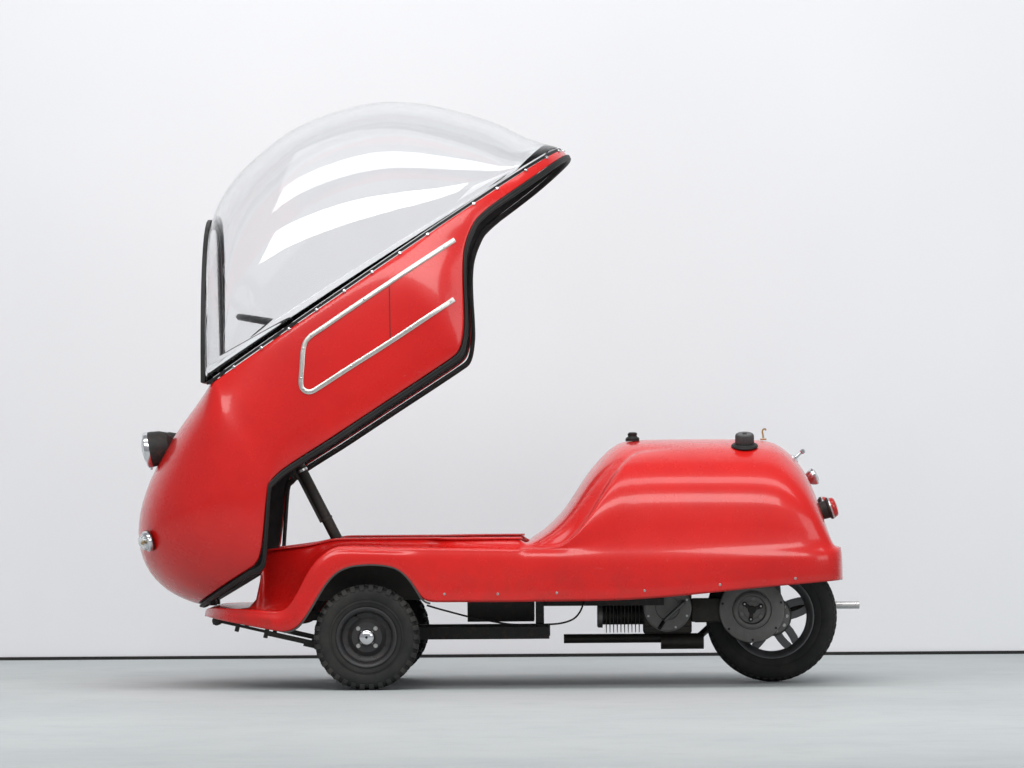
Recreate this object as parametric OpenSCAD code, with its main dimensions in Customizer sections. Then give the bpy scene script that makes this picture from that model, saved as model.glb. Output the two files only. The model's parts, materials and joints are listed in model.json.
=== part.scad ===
// Three wheeled bubble car with a tilting canopy.
// +X forward, +Y left, +Z up, millimetres. The ground is z = 0.

/* [Overall] */
// Distance between the front and the rear axle
wheelbase = 1308; // [1200:10:1450]
// Width over the body sides
body_w = 1060; // [1000:10:1200]
// Distance between the two front tyre centres
track_w = 930; // [880:5:960]
// Front axle, forward of the origin
front_axle_x = 415; // [380:1:440]

/* [Wheels] */
// Diameter of the front tyres
front_tyre_d = 338; // [300:2:370]
// Width of the front tyres
front_tyre_w = 100; // [84:2:110]
// Diameter of the rear tyre
rear_tyre_d = 430; // [390:2:460]
// Width of the rear tyre
rear_tyre_w = 90; // [80:2:110]
// Diameter of the axle shafts
axle_d = 20; // [16:1:24]

/* [Shell] */
// Wall of the moulded body shells
shell_t = 5; // [4:0.5:8]
// Height of the cockpit floor
floor_z = 285; // [275:5:320]
// Height of the coaming round the cockpit
coaming_z = 480; // [470:5:500]
// Height of the top of the engine hump
hump_z = 796; // [740:2:820]

/* [Canopy] */
// Angle that the canopy stands open
open_angle = 34; // [20:1:38]
// Height of the dome's base when the canopy is shut
rim_z = 860; // [840:2:900]
// Height of the dome above its base
dome_h = 560; // [480:5:620]
// Wall of the dome and of the windscreen
glazing_t = 4; // [3:0.5:6]
// Gap between the body and the shut canopy's edge, which the seal fills
edge_gap = 28; // [24:1:34]
// Depth of the rubber seal
seal_h = 19; // [12:1:21]

/* [Cockpit] */
// Diameter of the steering wheel
steering_wheel_d = 300; // [260:10:340]
// Length of the canopy stay between its eyes
stay_len = 385; // [360:1:388]
// Outside diameter of the stay's tube
stay_d = 36; // [28:2:40]

/* [Hidden] */
$fn = 48;

half_w = body_w / 2;
F = front_axle_x;
R = front_axle_x - wheelbase;
front_r = front_tyre_d / 2;
rear_r = rear_tyre_d / 2;
run_gap = 0.05;
seat_gap = 0.3;
hinge_x = F + 519;
hinge_z = 277;
waist_z = 446;

red = [0.78, 0.08, 0.05];
black = [0.08, 0.08, 0.09];
steel = [0.35, 0.34, 0.33];
chrome = [0.85, 0.85, 0.87];

// ---------------------------------------------------------------- functions

function unit(v) = v / max(norm(v), 1e-9);
function mix(a, b, t) = a + (b - a) * t;
function clamp01(t) = max(0, min(1, t));
function shift(table, x) = [for (p = table) [p[0] + x, p[1]]];
// The same line moved square to itself
function beside(t, d) = [for (i = [0:len(t) - 1]) let (
    u = unit(t[min(i + 1, len(t) - 1)] - t[max(i - 1, 0)])) [t[i][0] - u[1] * d, t[i][1] + u[0] * d]];

// Smooth curve through a table of [x, value] in rising x
function seg(t, x, i = 0) = (i >= len(t) - 2 || x <= t[i + 1][0]) ? i : seg(t, x, i + 1);
function curve(t, x) = let (
    i = seg(t, x), a = t[i], b = t[i + 1],
    p = t[max(i - 1, 0)], q = t[min(i + 2, len(t) - 1)],
    h = b[0] - a[0], u = clamp01((x - a[0]) / h),
    m = (b[1] - p[1]) / (b[0] - p[0]) * h, n = (q[1] - a[1]) / (q[0] - a[0]) * h)
    a[1] * (2 * pow(u, 3) - 3 * u * u + 1) + m * (pow(u, 3) - 2 * u * u + u)
    + b[1] * (3 * u * u - 2 * pow(u, 3)) + n * (pow(u, 3) - u * u);

// Superellipse: cosine and sine terms with the exponent's roundness n
function sc(a, n) = sign(cos(a)) * pow(abs(cos(a)), 2 / n);
function ss(a, n) = sign(sin(a)) * pow(abs(sin(a)), 2 / n);

// Outward normal at a point of a grid; a looped grid closes on itself in i
function normal(G, i, j, loop) = let (
    n = len(G), m = len(G[0]),
    i0 = loop ? (i + n - 1) % n : max(i - 1, 0), i1 = loop ? (i + 1) % n : min(i + 1, n - 1),
    j0 = max(j - 1, 0), j1 = min(j + 1, m - 1))
    unit(cross(G[i1][j] - G[i0][j], G[i][j1] - G[i][j0]));
function inset(G, d, loop) = [for (i = [0:len(G) - 1]) [for (j = [0:len(G[0]) - 1])
    G[i][j] - d * normal(G, i, j, loop)]];

// Closed wall between an outer grid and an inner grid of the same size
module wall(O, I, loop = false) {
    n = len(O);
    m = len(O[0]);
    last = loop ? n - 1 : n - 2;
    points = concat([for (r = O) each r], [for (r = I) each r]);
    k = n * m;
    faces = concat(
        [for (i = [0:last], j = [0:m - 2]) let (a = i * m + j, b = ((i + 1) % n) * m + j)
            each [[a, a + 1, b + 1], [a, b + 1, b]]],
        [for (i = [0:last], j = [0:m - 2]) let (a = k + i * m + j, b = k + ((i + 1) % n) * m + j)
            each [[a, b + 1, a + 1], [a, b, b + 1]]],
        [for (i = [0:last]) let (a = i * m, b = ((i + 1) % n) * m)
            each [[a, b, k + b], [a, k + b, k + a]]],
        [for (i = [0:last]) let (a = i * m + m - 1, b = ((i + 1) % n) * m + m - 1)
            each [[a, k + b, b], [a, k + a, k + b]]],
        loop ? [] : [for (j = [0:m - 2]) each [[j, k + j + 1, j + 1], [j, k + j, k + j + 1]]],
        loop ? [] : [for (j = [0:m - 2]) let (a = (n - 1) * m + j)
            each [[a, a + 1, k + a + 1], [a, k + a + 1, k + a]]]);
    polyhedron(points, faces, convexity = 10);
}

// Tube through rings of points; a looped tube closes on itself
module tube(rings, loop = false) {
    n = len(rings);
    m = len(rings[0]);
    last = loop ? n - 1 : n - 2;
    faces = concat(
        [for (i = [0:last], j = [0:m - 1]) let (
            a = i * m + j, b = i * m + (j + 1) % m,
            c = ((i + 1) % n) * m + j, d = ((i + 1) % n) * m + (j + 1) % m)
            each [[a, b, d], [a, d, c]]],
        loop ? [] : [[for (j = [m - 1:-1:0]) j]],
        loop ? [] : [[for (j = [0:m - 1]) (n - 1) * m + j]]);
    polyhedron([for (r = rings) each r], faces, convexity = 10);
}

// Round bar between two points
module bar(p, q, d) {
    v = q - p;
    translate(p)
        rotate([0, acos(v[2] / norm(v)), atan2(v[1], v[0])])
            cylinder(h = norm(v), d = d);
}
module along_y(x, y0, y1, z, d) {
    translate([x, y0, z]) rotate([-90, 0, 0]) cylinder(h = y1 - y0, d = d);
}
module mirror_y() {
    children();
    mirror([0, 1, 0]) children();
}
// From the shut pose, in which the canopy is laid out, to the open pose
function shut(p) = let (x = p[0] - hinge_x, z = p[2] - hinge_z)
    [hinge_x + x * cos(open_angle) - z * sin(open_angle), p[1],
        hinge_z + x * sin(open_angle) + z * cos(open_angle)];
module opened() {
    translate([hinge_x, 0, hinge_z]) rotate([0, open_angle, 0])
        translate([-hinge_x, 0, -hinge_z]) children();
}

// ------------------------------------------------------------- base outline

// Height of the crease that the canopy's edge meets, along the body
crease_rear = [[375, hump_z - 6], [425, hump_z - 27], [475, 732], [520, 674], [604, 539],
    [644, 490], [685, 456], [735, 449]];
crease_front = [[-270, 454], [-80, 457], [70, 462], [110, 455], [140, 434], [166, 410],
    [188, 378], [210, 336], [235, 290], [262, 261], [292, 255], [370, 260], [540, 264]];
crease_line = concat(shift(crease_rear, R), shift(crease_front, F));
// The nose's top rolls down in front of the hinges
nose_drop = 14;
function crease_at(x) = curve(crease_line, x) - nose_drop * pow(clamp01((x - F - 505) / 36), 2);

// Lower edge of the body side, with the front wheel's arch
skirt_rear = [[-215, 340], [-83, 329], [110, 312], [304, 292], [493, 280], [685, 277]];
skirt_front = [[-215, 277], [-196, 279], [-178, 291], [-158, 322], [-140, 349], [-111, 379],
    [-80, 394], [-30, 401], [15, 400], [52, 395], [90, 378], [118, 352], [140, 322],
    [178, 258], [208, 214], [232, 195], [260, 188], [300, 193], [400, 210], [540, 232]];
skirt_line = concat(shift(skirt_rear, R), shift(skirt_front, F));
function skirt_at(x) = curve(skirt_line, x);

// Centre line of the engine hump, seen from the side
hump_line = shift([[-215, waist_z + 2], [-190, waist_z + 5], [-173, 506], [-158, 557],
    [-136, 625], [-121, 660], [-103, 697], [-77, 731], [-47, 760], [-11, 784], [30, hump_z - 3],
    [130, hump_z], [330, hump_z + 1], [430, hump_z - 1], [478, hump_z - 5], [508, hump_z - 16],
    [550, hump_z - 50], [605, 681], [646, 618], [688, 559], [754, 497], [798, 473]], R);
// Half width of the hump at its waist, and of the skirt at the tail
hump_inset = shift([[-215, 150], [-211, 110], [-203, 80], [-188, 58], [-165, 40], [-130, 30],
    [-60, 24], [300, 20], [798, 16]], R);
tail_inset = shift([[-215, 110], [-211, 75], [-203, 50], [-188, 28], [-165, 14], [-130, 5],
    [-60, 0], [300, 0]], R);
hump_round = 3;
// The seal's seat ahead of the hump: its width, and how far the slope stands in from it
seat_w = 30;
seat_in = 0.085;

// Plan of the nose
nose_x = F + 150;
nose_len = 400;
nose_round = 2.5;
// How far the canopy's lip stands ahead of the body's nose
lip_out = 15;
function nose_w(x) = x < nose_x ? half_w - 8 :
    (half_w - 8) * pow(max(0, 1 - pow((x - nose_x) / nose_len, nose_round)), 1 / nose_round);

// Cockpit tub
tub_front = F + 338;
tub_rear = R + 808;
tub_line = concat([[tub_rear - 20, 100], [tub_rear + 60, 100], [F - 330, 100]],
    shift([[-250, 140], [-190, 204], [200, 206], [290, 240], [345, 284]], F));
function tub_w(x) = half_w - curve(tub_line, x);
coaming_line = shift([[-320, coaming_z], [60, coaming_z], [110, coaming_z - 2],
    [200, coaming_z - 20], [345, coaming_z - 38]], F);
function coaming_at(x) = curve(coaming_line, x);
lip = 9;

function hump_pt(x, a) = let (w = half_w - curve(hump_inset, x), top = curve(hump_line, x))
    [w * sc(a, hump_round), waist_z + (top - waist_z) * ss(a, hump_round)];
// Angle on the hump's section at which the crease runs
function crease_angle(x) = let (
    top = curve(hump_line, x), r = clamp01((crease_at(x) - waist_z) / max(top - waist_z, 1)))
    x < R + 420 ? 58 : min(58, asin(pow(r, hump_round / 2)));

// Half section of the base: from the centre line out and down to the skirt's edge
function lower_pts(x, w, z) = let (low = skirt_at(x), b = half_w - curve(tail_inset, x),
    out = x > nose_x ? w + 8 : b)
    [[out - 1, mix(z, low, 0.12) - 2], [out, mix(z, low, 0.55)], [out, low]];
function hump_section(x) = let (
    c = crease_angle(x), fade = clamp01((x - R - 330) / 90), in = 1 - seat_in * fade,
    top = [for (k = [0:7]) let (p = hump_pt(x, mix(90, c + 5, k / 7))) [p[0] * in, p[1]]],
    side = [for (k = [0:4]) hump_pt(x, mix(c, 0, k / 4))],
    groove = mix(hump_pt(x, c + 3), side[0] - [seat_w, 5], fade))
    concat(top, [groove], side,
        lower_pts(x, side[4][0], waist_z));
function rim_pts(x, w, z) =
    [[w - 9, z], [w - 5, z - 2], [w - 2, z - 5], [w - 0.5, z - 9], [w, z - 14]];
function tub_section(x) = let (t = tub_w(x), w = nose_w(x), z = crease_at(x), c = coaming_at(x))
    concat([[0, floor_z], [t * 0.5, floor_z], [t - 22, floor_z], [t - 2, floor_z + 20],
        [t + 5, c - lip], [t + 13, c], [t + 25, c], [t + 35, min(z + 3, c - lip)],
        [w - 24, z - 6]], rim_pts(x, w, z), lower_pts(x, w, z - 14));
function deck_section(x) = let (t = tub_w(x), w = nose_w(x), z = crease_at(x), c = coaming_at(x))
    concat([[0, c], [t * 0.5, c], [t - 22, c], [t - 2, c], [t + 5, c], [t + 13, c], [t + 25, c],
        [t + 35, min(z + 3, c - lip)], [w - 24, z - 6]], rim_pts(x, w, z), lower_pts(x, w, z - 14));
function apron_section(x) = let (w = max(nose_w(x), 150), z = crease_at(x))
    concat([for (k = [0:8]) [(w - 18) * k / 8, z - 3 + 3 * cos(90 * k / 8)]],
        rim_pts(x, w, z), lower_pts(x, w, z - 14));
function section(x) =
    x > tub_front + 12 ? apron_section(x) :
    x > tub_front - 7 ? deck_section(x) :
    x > tub_rear ? tub_section(x) : hump_section(x);
function squash(s, x) = let (low = skirt_at(x))
    [for (p = s) [p[0] * 0.998, low + (p[1] - low) * 0.12]];
function full(x, s) = concat([for (k = [len(s) - 1:-1:1]) [x, s[k][0], s[k][1]]],
    [for (p = s) [x, -p[0], p[1]]]);

nose_stations = [for (a = [14, 20, 27, 35, 44, 53]) nose_x + nose_len * sc(a, nose_round)];
front_stations = [F + 322, F + 302, F + 285, F + 268, F + 252, F + 236, F + 220, F + 202,
    F + 184, F + 166, F + 148, F + 130, F + 110, F + 88, F + 60, F + 20, F - 30, F - 75,
    F - 105, F - 130, F - 148, F - 162, F - 176, F - 190, F - 210, F - 240, F - 290];
mid_stations = [mix(F - 290, R + 900, 0.35), mix(F - 290, R + 900, 0.7), R + 880, R + 832,
    tub_rear + 8];
rear_stations = [tub_rear - 9, R + 780, R + 754, R + 724, R + 700, R + 680, R + 658, R + 636,
    R + 614, R + 590, R + 566, R + 542, R + 518, R + 495, R + 470, R + 440, R + 405, R + 330,
    R + 220, R + 110, R + 30, R - 11, R - 45, R - 75, R - 103, R - 122, R - 138, R - 158,
    R - 174, R - 187, R - 199, R - 208, R - 214];
nose_end = nose_stations[0];
tail_end = R - 214;
base_grid = concat(
    [full(nose_end + 1.5, squash(section(nose_end), nose_end))],
    [for (x = nose_stations) full(x, section(x))],
    [for (x = [tub_front + 18, tub_front + 10, tub_front - 5, tub_front - 12])
        full(x, section(x))],
    [for (x = front_stations) full(x, section(x))],
    [for (x = mid_stations) full(x, section(x))],
    [for (x = rear_stations) full(x, section(x))],
    [full(tail_end - 1.5, squash(section(tail_end), tail_end))]);

module base_shell() {
    color(red) wall(base_grid, inset(base_grid, shell_t, false));
}

// --------------------------------------------------------------- canopy form

// Plan of the dome's base
rim_front = F + 120;
rim_mid = F - 309;
rim_len = 945;
rim_half = half_w - 44;
rim_round = 2.6;
function rim_w(x) = x > rim_mid
    ? rim_half * sqrt(1 - pow((x - rim_mid) / 1000, 2))
    : rim_half * pow(max(0, 1 - pow((rim_mid - x) / rim_len, rim_round)), 1 / rim_round);
rim_corner = rim_w(rim_front);
tail_x = rim_mid - rim_len;

// Height of the canopy's lower edge
raised_crease = beside(crease_line, edge_gap);
edge_line = concat([[tail_x - 10, rim_z - 30]],
    shift([[190, rim_z - 40], [330, rim_z - 44], [395, rim_z - 48]], R),
    [for (k = [1:len(raised_crease) - 1]) raised_crease[k]]);
function edge_z(x) = curve(edge_line, x);
function edge_y(x) = let (z = edge_z(x), u = clamp01((rim_z - z) / (rim_z - waist_z - edge_gap)))
    x > nose_x ? nose_w(x) : mix(rim_w(x) + 10, half_w - 10, pow(u, 3));

// Each station pairs a point of the lower edge with a point of the rim
nose_angles = [0, 8, 16, 25, 34, 43, 52, 60, 67, 74, 82];
function nose_station(a) = let (
    x = nose_x + nose_len * sc(a, nose_round), k = pow(a / 90, 0.9))
    [[x + lip_out * pow(cos(a), 2), nose_w(x), edge_z(x)],
        [mix(rim_front + 14, rim_front - 30, pow(a / 90, 4)),
            (rim_corner + 6) * min(1, 1.12 * k), rim_z - 8]];
side_x = [F + 140, F + 115, F + 70, F, F - 100, F - 200, F - 320, R + 850, R + 770, R + 735,
    R + 705, R + 680, R + 655, R + 630, R + 600, R + 565, R + 530, R + 500, R + 472, R + 445,
    R + 410, R + 350];
function side_station(x) = [[x, edge_y(x), edge_z(x)],
    [min(x, rim_front - 30), rim_w(min(x, rim_front - 30)) + 8, rim_z - 8]];
tail_angles = [50, 43, 36, 29, 22, 15, 8, 0];
function tail_station(a) = let (
    x = rim_mid - rim_len * sc(a, rim_round), y = rim_half * ss(a, rim_round))
    [[x - 10 * cos(a), y + 10 * sin(a), edge_z(x - 10)],
        [x - 8 * cos(a), y + 8 * sin(a), rim_z - 8]];
near_stations = concat([for (a = nose_angles) nose_station(a)], [for (x = side_x) side_station(x)],
    [for (a = tail_angles) tail_station(a)]);
far_stations = [for (k = [len(near_stations) - 2:-1:1]) [for (p = near_stations[k])
    [p[0], -p[1], p[2]]]];
stations = concat(near_stations, far_stations);

// Cubic curve of one station, from the lower edge (t = 0) up to the rim (t = 1)
function flat_dir(p) = p[0] > nose_x + 10
    ? unit([pow((p[0] - nose_x) / nose_len, nose_round - 1) / nose_len,
        sign(p[1]) * pow(abs(p[1]) / half_w, nose_round - 1) / half_w, 0])
    : p[0] < R + 350 ? unit([p[0] - rim_mid - 300, p[1], 0]) : [0, sign(p[1]), 0];
function canopy_pt(s, t) = let (
    b = s[0], r = s[1], h = r[2] - b[2], flat = norm([b[0] - r[0], b[1] - r[1]]),
    w = clamp01(flat / 400), d = flat_dir(b), tall = clamp01(h / 400),
    p = [b[0], b[1], b[2] + mix(0.34, 0.35, w) * h]
        + [d[0], d[1] * 0.55, 0] * (mix(10, 172, w) * tall),
    q = [r[0] + (b[0] - r[0]) * mix(1.0, 1.16, w), r[1] + (b[1] - r[1]) * mix(1.0, 1.16, w),
        r[2] - mix(0.34, 0.22, w) * h] + [0, sign(b[1]) * 6 * tall * (1 - w), 0],
    v = 1 - t)
    v * v * v * b + 3 * v * v * t * p + 3 * v * t * t * q + t * t * t * r;
rows = 12;
canopy_grid = [for (s = stations) [for (k = [0:rows]) canopy_pt(s, k / rows)]];

// Outside face of the shut canopy's side, at a given place and height
function side_t(s, z, lo = 0, hi = 1, n = 0) = let (m = (lo + hi) / 2)
    n > 14 ? m : canopy_pt(s, m)[2] < z ? side_t(s, z, m, hi, n + 1) : side_t(s, z, lo, m, n + 1);
function side_pt(x, z) = let (s = side_station(x), p = canopy_pt(s, side_t(s, z)))
    p;

module canopy_shell() {
    color(red) opened() wall(canopy_grid, inset(canopy_grid, shell_t, true), true);
}

// Dark lining band inside the canopy's lower edge
lining_t = 3;
module canopy_lining() {
    near = inset(canopy_grid, shell_t + seat_gap, true);
    far = inset(canopy_grid, shell_t + seat_gap + lining_t, true);
    color(black) opened() wall([for (r = near) [for (k = [1:3]) r[k]]],
        [for (r = far) [for (k = [1:3]) r[k]]], true);
}

// Rubber seal along the lower edge
seal_w = 16;
module canopy_seal() {
    G = canopy_grid;
    rings = [for (i = [0:len(G) - 1]) let (
        n = normal(G, i, 0, true), up = unit(G[i][1] - G[i][0]),
        c = G[i][0] - n * shell_t / 2 - up * (seal_h / 2 + 2 * seat_gap))
        [for (p = [[-0.5, 0.5], [-0.5, -0.25], [-0.3, -0.5], [0.3, -0.5], [0.5, -0.25], [0.5, 0.5]])
            c + n * seal_w * p[0] + up * seal_h * p[1]]];
    color(black) opened() tube(rings, true);
}

// -------------------------------------------------------------------- glazing

lean = 34;
screen_len = 538;
dome_base_z = rim_z + 4;
screen_foot_x = rim_front;
dome_round = 2.5;
apex_front = [screen_foot_x - screen_len * sin(lean), dome_base_z + screen_len * cos(lean)];
// Top of the dome along its centre line: share of the way back, then x and z from the screen's top
dome_top = [[0, 0, 0], [0.08, -70, 46], [0.17, -160, 78], [0.28, -285, 97], [0.38, -400, 98],
    [0.5, -545, 66], [0.6, -670, 14], [0.7, -775, -62], [0.79, -870, -160], [0.87, -950, -262],
    [0.94, -1010, -365], [1, -1070, -440]];
dome_rise = dome_h / 560;
top_x = [for (p = dome_top) [p[0], p[1]]];
top_z = [for (p = dome_top) [p[0], p[2]]];
dome_ribs = 18;
dome_arc = 20;
function dome_pt(u, v) = let (
    foot = mix(screen_foot_x, tail_x + 200, pow(u, 1.3)),
    w = rim_w(foot) - 6,
    tx = apex_front[0] + curve(top_x, u),
    tz = apex_front[1] + curve(top_z, u) * dome_rise,
    a = 180 * v, rise = pow(sin(a), 2 / mix(dome_round, 2.1, u)))
    [mix(foot, tx, rise), w * sc(a, mix(dome_round, 2.2, u)), mix(dome_base_z, tz, rise)];
dome_grid = [for (i = [0:dome_ribs]) [for (j = [0:dome_arc]) dome_pt(i / dome_ribs, j / dome_arc)]];

module dome() {
    color([0.8, 0.88, 0.92, 0.3]) opened()
        wall(dome_grid, inset(dome_grid, glazing_t, false));
}

gasket_w = 16;
function rim_loop(d) = let (
    near = concat([[rim_front + d, rim_corner + d]],
        [for (k = [1:10]) let (x = mix(rim_front, rim_mid - 500, k / 10)) [x, rim_w(x) + d]],
        [for (a = [56:-8:0]) [rim_mid - rim_len * sc(a, rim_round) - d * cos(a),
            rim_half * ss(a, rim_round) + d * sin(a)]]))
    concat(near, [for (k = [len(near) - 2:-1:0]) [near[k][0], -near[k][1]]]);
gasket_h = 9;
module dome_gasket() {
    color(black) opened() translate([0, 0, rim_z - 7]) linear_extrude(gasket_h)
        difference() {
            polygon(rim_loop(4));
            polygon(rim_loop(4 - gasket_w));
        }
}

// Windscreen, laid out flat and then leant back onto the dome's front edge
frame_t = 14;
frame_band = 24;
function arch(d) = [for (j = [0:24]) let (a = 180 * j / 24)
    [(rim_w(screen_foot_x) - 6 + d) * sc(a, dome_round),
        d < 0 ? max(-d, (screen_len + d) * ss(a, dome_round)) : (screen_len + d) * ss(a, dome_round)]];
module on_screen(off) {
    translate([screen_foot_x, 0, dome_base_z]) rotate([0, -lean, 0])
        translate([off, 0, 0]) rotate([90, 0, 90]) children();
}
module windscreen_frame() {
    color(black) opened() on_screen(seat_gap) linear_extrude(frame_t) difference() {
        polygon(arch(5));
        polygon(arch(-frame_band));
    }
}
module windscreen_glass() {
    color([0.8, 0.88, 0.92, 0.3]) opened() on_screen(seat_gap + (frame_t - glazing_t) / 2)
        linear_extrude(glazing_t) polygon(arch(-frame_band - seat_gap));
}
wiper_y = 150;
module wiper() {
    color(black) opened() on_screen(frame_t + 2) {
        translate([wiper_y, 8, -1.4]) cylinder(h = 22, d = 14);
        translate([wiper_y, 8, 10]) rotate([0, 0, 28]) translate([-4, 0, 0]) cube([8, 210, 4]);
        translate([wiper_y, 8, 3]) rotate([0, 0, 28]) translate([-3, 60, 0]) cube([6, 190, 10]);
    }
}

// --------------------------------------------------------- canopy's fittings

// Two strap hinges at the nose: the canopy's leaf and its knuckle
hinge_y = 70;
hinge_w = 60;
hinge_d = 18;
hinge_pin_d = 9;
hinge_leaf = 56;
module canopy_hinges() {
    color(steel) opened() mirror_y() difference() {
        union() {
            along_y(hinge_x, hinge_y - hinge_w / 6, hinge_y + hinge_w / 6, hinge_z, hinge_d);
            translate([hinge_x, hinge_y - hinge_w / 6, hinge_z])
                rotate([0, 40.5, 0]) translate([-3, 0, 7]) cube([6, hinge_w / 3, hinge_leaf - 7]);
        }
        along_y(hinge_x, hinge_y - hinge_w, hinge_y + hinge_w, hinge_z, hinge_pin_d + 2 * run_gap);
    }
}

trim_d = 9;
trim_path = [[F - 800, 788], [F - 670, 790], [F - 540, 791], [F - 400, 792], [F - 300, 792],
    [F - 238, 791], [F - 205, 772], [F - 165, 722], [F - 136, 684], [F - 132, 662], [F - 146, 645],
    [F - 180, 641], [F - 300, 638], [F - 440, 633], [F - 580, 631], [F - 690, 630]];
trim_line = [for (i = [0:len(trim_path) - 1]) each i == len(trim_path) - 1 ? [trim_path[i]]
    : [for (k = [0:2]) mix(trim_path[i], trim_path[i + 1], k / 3)]];
module side_trim() {
    rings = [for (i = [0:len(trim_line) - 1]) let (
        c = trim_line[i], p = side_pt(c[0], c[1]),
        a = trim_line[max(i - 1, 0)], b = trim_line[min(i + 1, len(trim_line) - 1)],
        t = unit([b[0] - a[0], 0, b[1] - a[1]]),
        n = unit(cross(side_pt(c[0], c[1] + 4) - p, side_pt(c[0] + 4, c[1]) - p)),
        e = unit(cross(t, n)), o = p + n * (trim_d * 0.32 + 0.9))
        [for (k = [0:5]) o + n * trim_d * 0.32 * cos(60 * k + 30) + e * trim_d * sin(60 * k + 30)]];
    color(chrome) opened() mirror_y() tube(rings);
}

// A round lamp: bowl, rim and lens, facing up
module lamp(d, depth, back = 0) {
    rotate_extrude() polygon([[0, -back], [d * 0.3, -back], [d * 0.44, depth * 0.45 - back / 2],
        [d * 0.5, depth * 0.75], [d * 0.5, depth * 0.92], [d * 0.4, depth], [0, depth * 1.12]]);
}
headlamp_d = 116;
front_lamp_d = 68;
// Point of the nose's surface at a plan angle and a share of its height
function nose_pt(a, t) = canopy_pt(nose_station(a), t);
function nose_dir(a, t) = unit(cross(nose_pt(a + 1, t) - nose_pt(a - 1, t),
    nose_pt(a, t + 0.02) - nose_pt(a, t - 0.02)));
module face_along(n) {
    rotate([0, acos(n[2]), atan2(n[1], n[0])]) children();
}
// A pair of lamps on the nose: they face forward, cut off square to the skin behind them
module nose_lamps(a, t, tilt, d, depth, back, ahead) {
    p = nose_pt(a, t);
    n = nose_dir(a, t);
    mirror_y() difference() {
        translate(p + n * ahead) rotate([0, tilt, 0]) lamp(d, depth, back);
        translate(p + n * 1.2) face_along(n) translate([-d, -d, -3 * d]) cube([2 * d, 2 * d, 3 * d]);
    }
}
module headlamps() {
    color(chrome) opened() nose_lamps(24, 0.8, 66, headlamp_d, 44, 60, 26);
}
module front_lamps() {
    color(chrome) opened() nose_lamps(34, 0.42, 86, front_lamp_d, 32, 6, 2);
}

column_y = -150;
wheel_hub = [F - 167, column_y, 917];
column_foot = [F + 164, column_y, 570];
column_d = 30;
column_dir = unit(column_foot - wheel_hub);
column_tilt = atan2(wheel_hub[0] - column_foot[0], wheel_hub[2] - column_foot[2]);
module along_column(off) {
    translate(wheel_hub + column_dir * off) rotate([0, column_tilt, 0]) children();
}
column_len = norm(column_foot - wheel_hub);
spindle_d = 16;
module steering_column() {
    color(black) opened() {
        difference() {
            along_column(column_len) cylinder(h = column_len - 40, d = column_d);
            along_column(column_len + 1) cylinder(h = column_len + 50, d = spindle_d + 2 * run_gap);
        }
        difference() {
            bar(wheel_hub + column_dir * column_len * 0.72 + [8, 0, 8],
                [rim_front + 53, column_y, rim_z - 28.5], 18);
            along_column(column_len + 1) cylinder(h = column_len + 50, d = column_d - 1);
        }
    }
}
module steering_wheel() {
    color(black) opened() {
        along_column(0) rotate_extrude() translate([steering_wheel_d / 2 - 11, 0]) circle(d = 22);
        along_column(0) for (a = [30, 150, 270]) rotate([0, 0, a])
            translate([spindle_d / 2, -9, -3]) cube([steering_wheel_d / 2 - 20, 18, 6]);
        along_column(12) translate([0, 0, -2]) cylinder(h = 26, d = 52);
        along_column(column_len) cylinder(h = column_len, d = spindle_d);
    }
}

// Stay: hinged on the floor, its eye meets the bracket on the canopy
stay_y = 285;
stay_foot = [F + 62, stay_y, 400];
stay_lean = 27;
stay_eye = stay_foot + stay_len * [sin(stay_lean), 0, cos(stay_lean)];
stay_pin_d = 12;
stay_side_gap = 5;
module stay_tube() {
    color(black) translate(stay_foot) rotate([0, stay_lean, 0]) difference() {
        union() {
            cylinder(h = stay_len, d = stay_d);
            rotate([-90, 0, 0]) cylinder(h = stay_d - 10, d = 30, center = true);
            translate([stay_d / 2 - 4, -10, stay_len * 0.42]) cube([10, 20, stay_len * 0.5]);
            translate([stay_d / 2 + 4, -4, stay_len * 0.86]) cube([16, 8, 10]);
        }
        translate([0, 0, 50]) cylinder(h = stay_len, d = stay_d - 6);
        rotate([-90, 0, 0])
            cylinder(h = stay_d + 20, d = stay_pin_d + 2 * run_gap, center = true);
    }
}
module stay_bracket() {
    y0 = stay_y + stay_d / 2 + stay_side_gap;
    c = shut(stay_eye);
    y1 = side_pt(c[0], c[2])[1] - shell_t - lining_t - 3 * seat_gap;
    color(black) {
        along_y(stay_eye[0], y0, y1, stay_eye[2], 14);
        along_y(stay_eye[0], y0 + 24, y0 + 34, stay_eye[2], 24);
    }
}
module stay_pivot() {
    y1 = tub_w(stay_foot[0]) + 0.6;
    color(black) {
        along_y(stay_foot[0], stay_y - stay_d / 2 - 6, y1, stay_foot[2], stay_pin_d);
        along_y(stay_foot[0], stay_y + stay_d / 2 + 3, y1, stay_foot[2], 34);
        along_y(stay_foot[0], stay_y - stay_d / 2 - 8, stay_y - stay_d / 2 - 3, stay_foot[2], 22);
    }
}

// ------------------------------------------------------------ cockpit pieces

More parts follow.
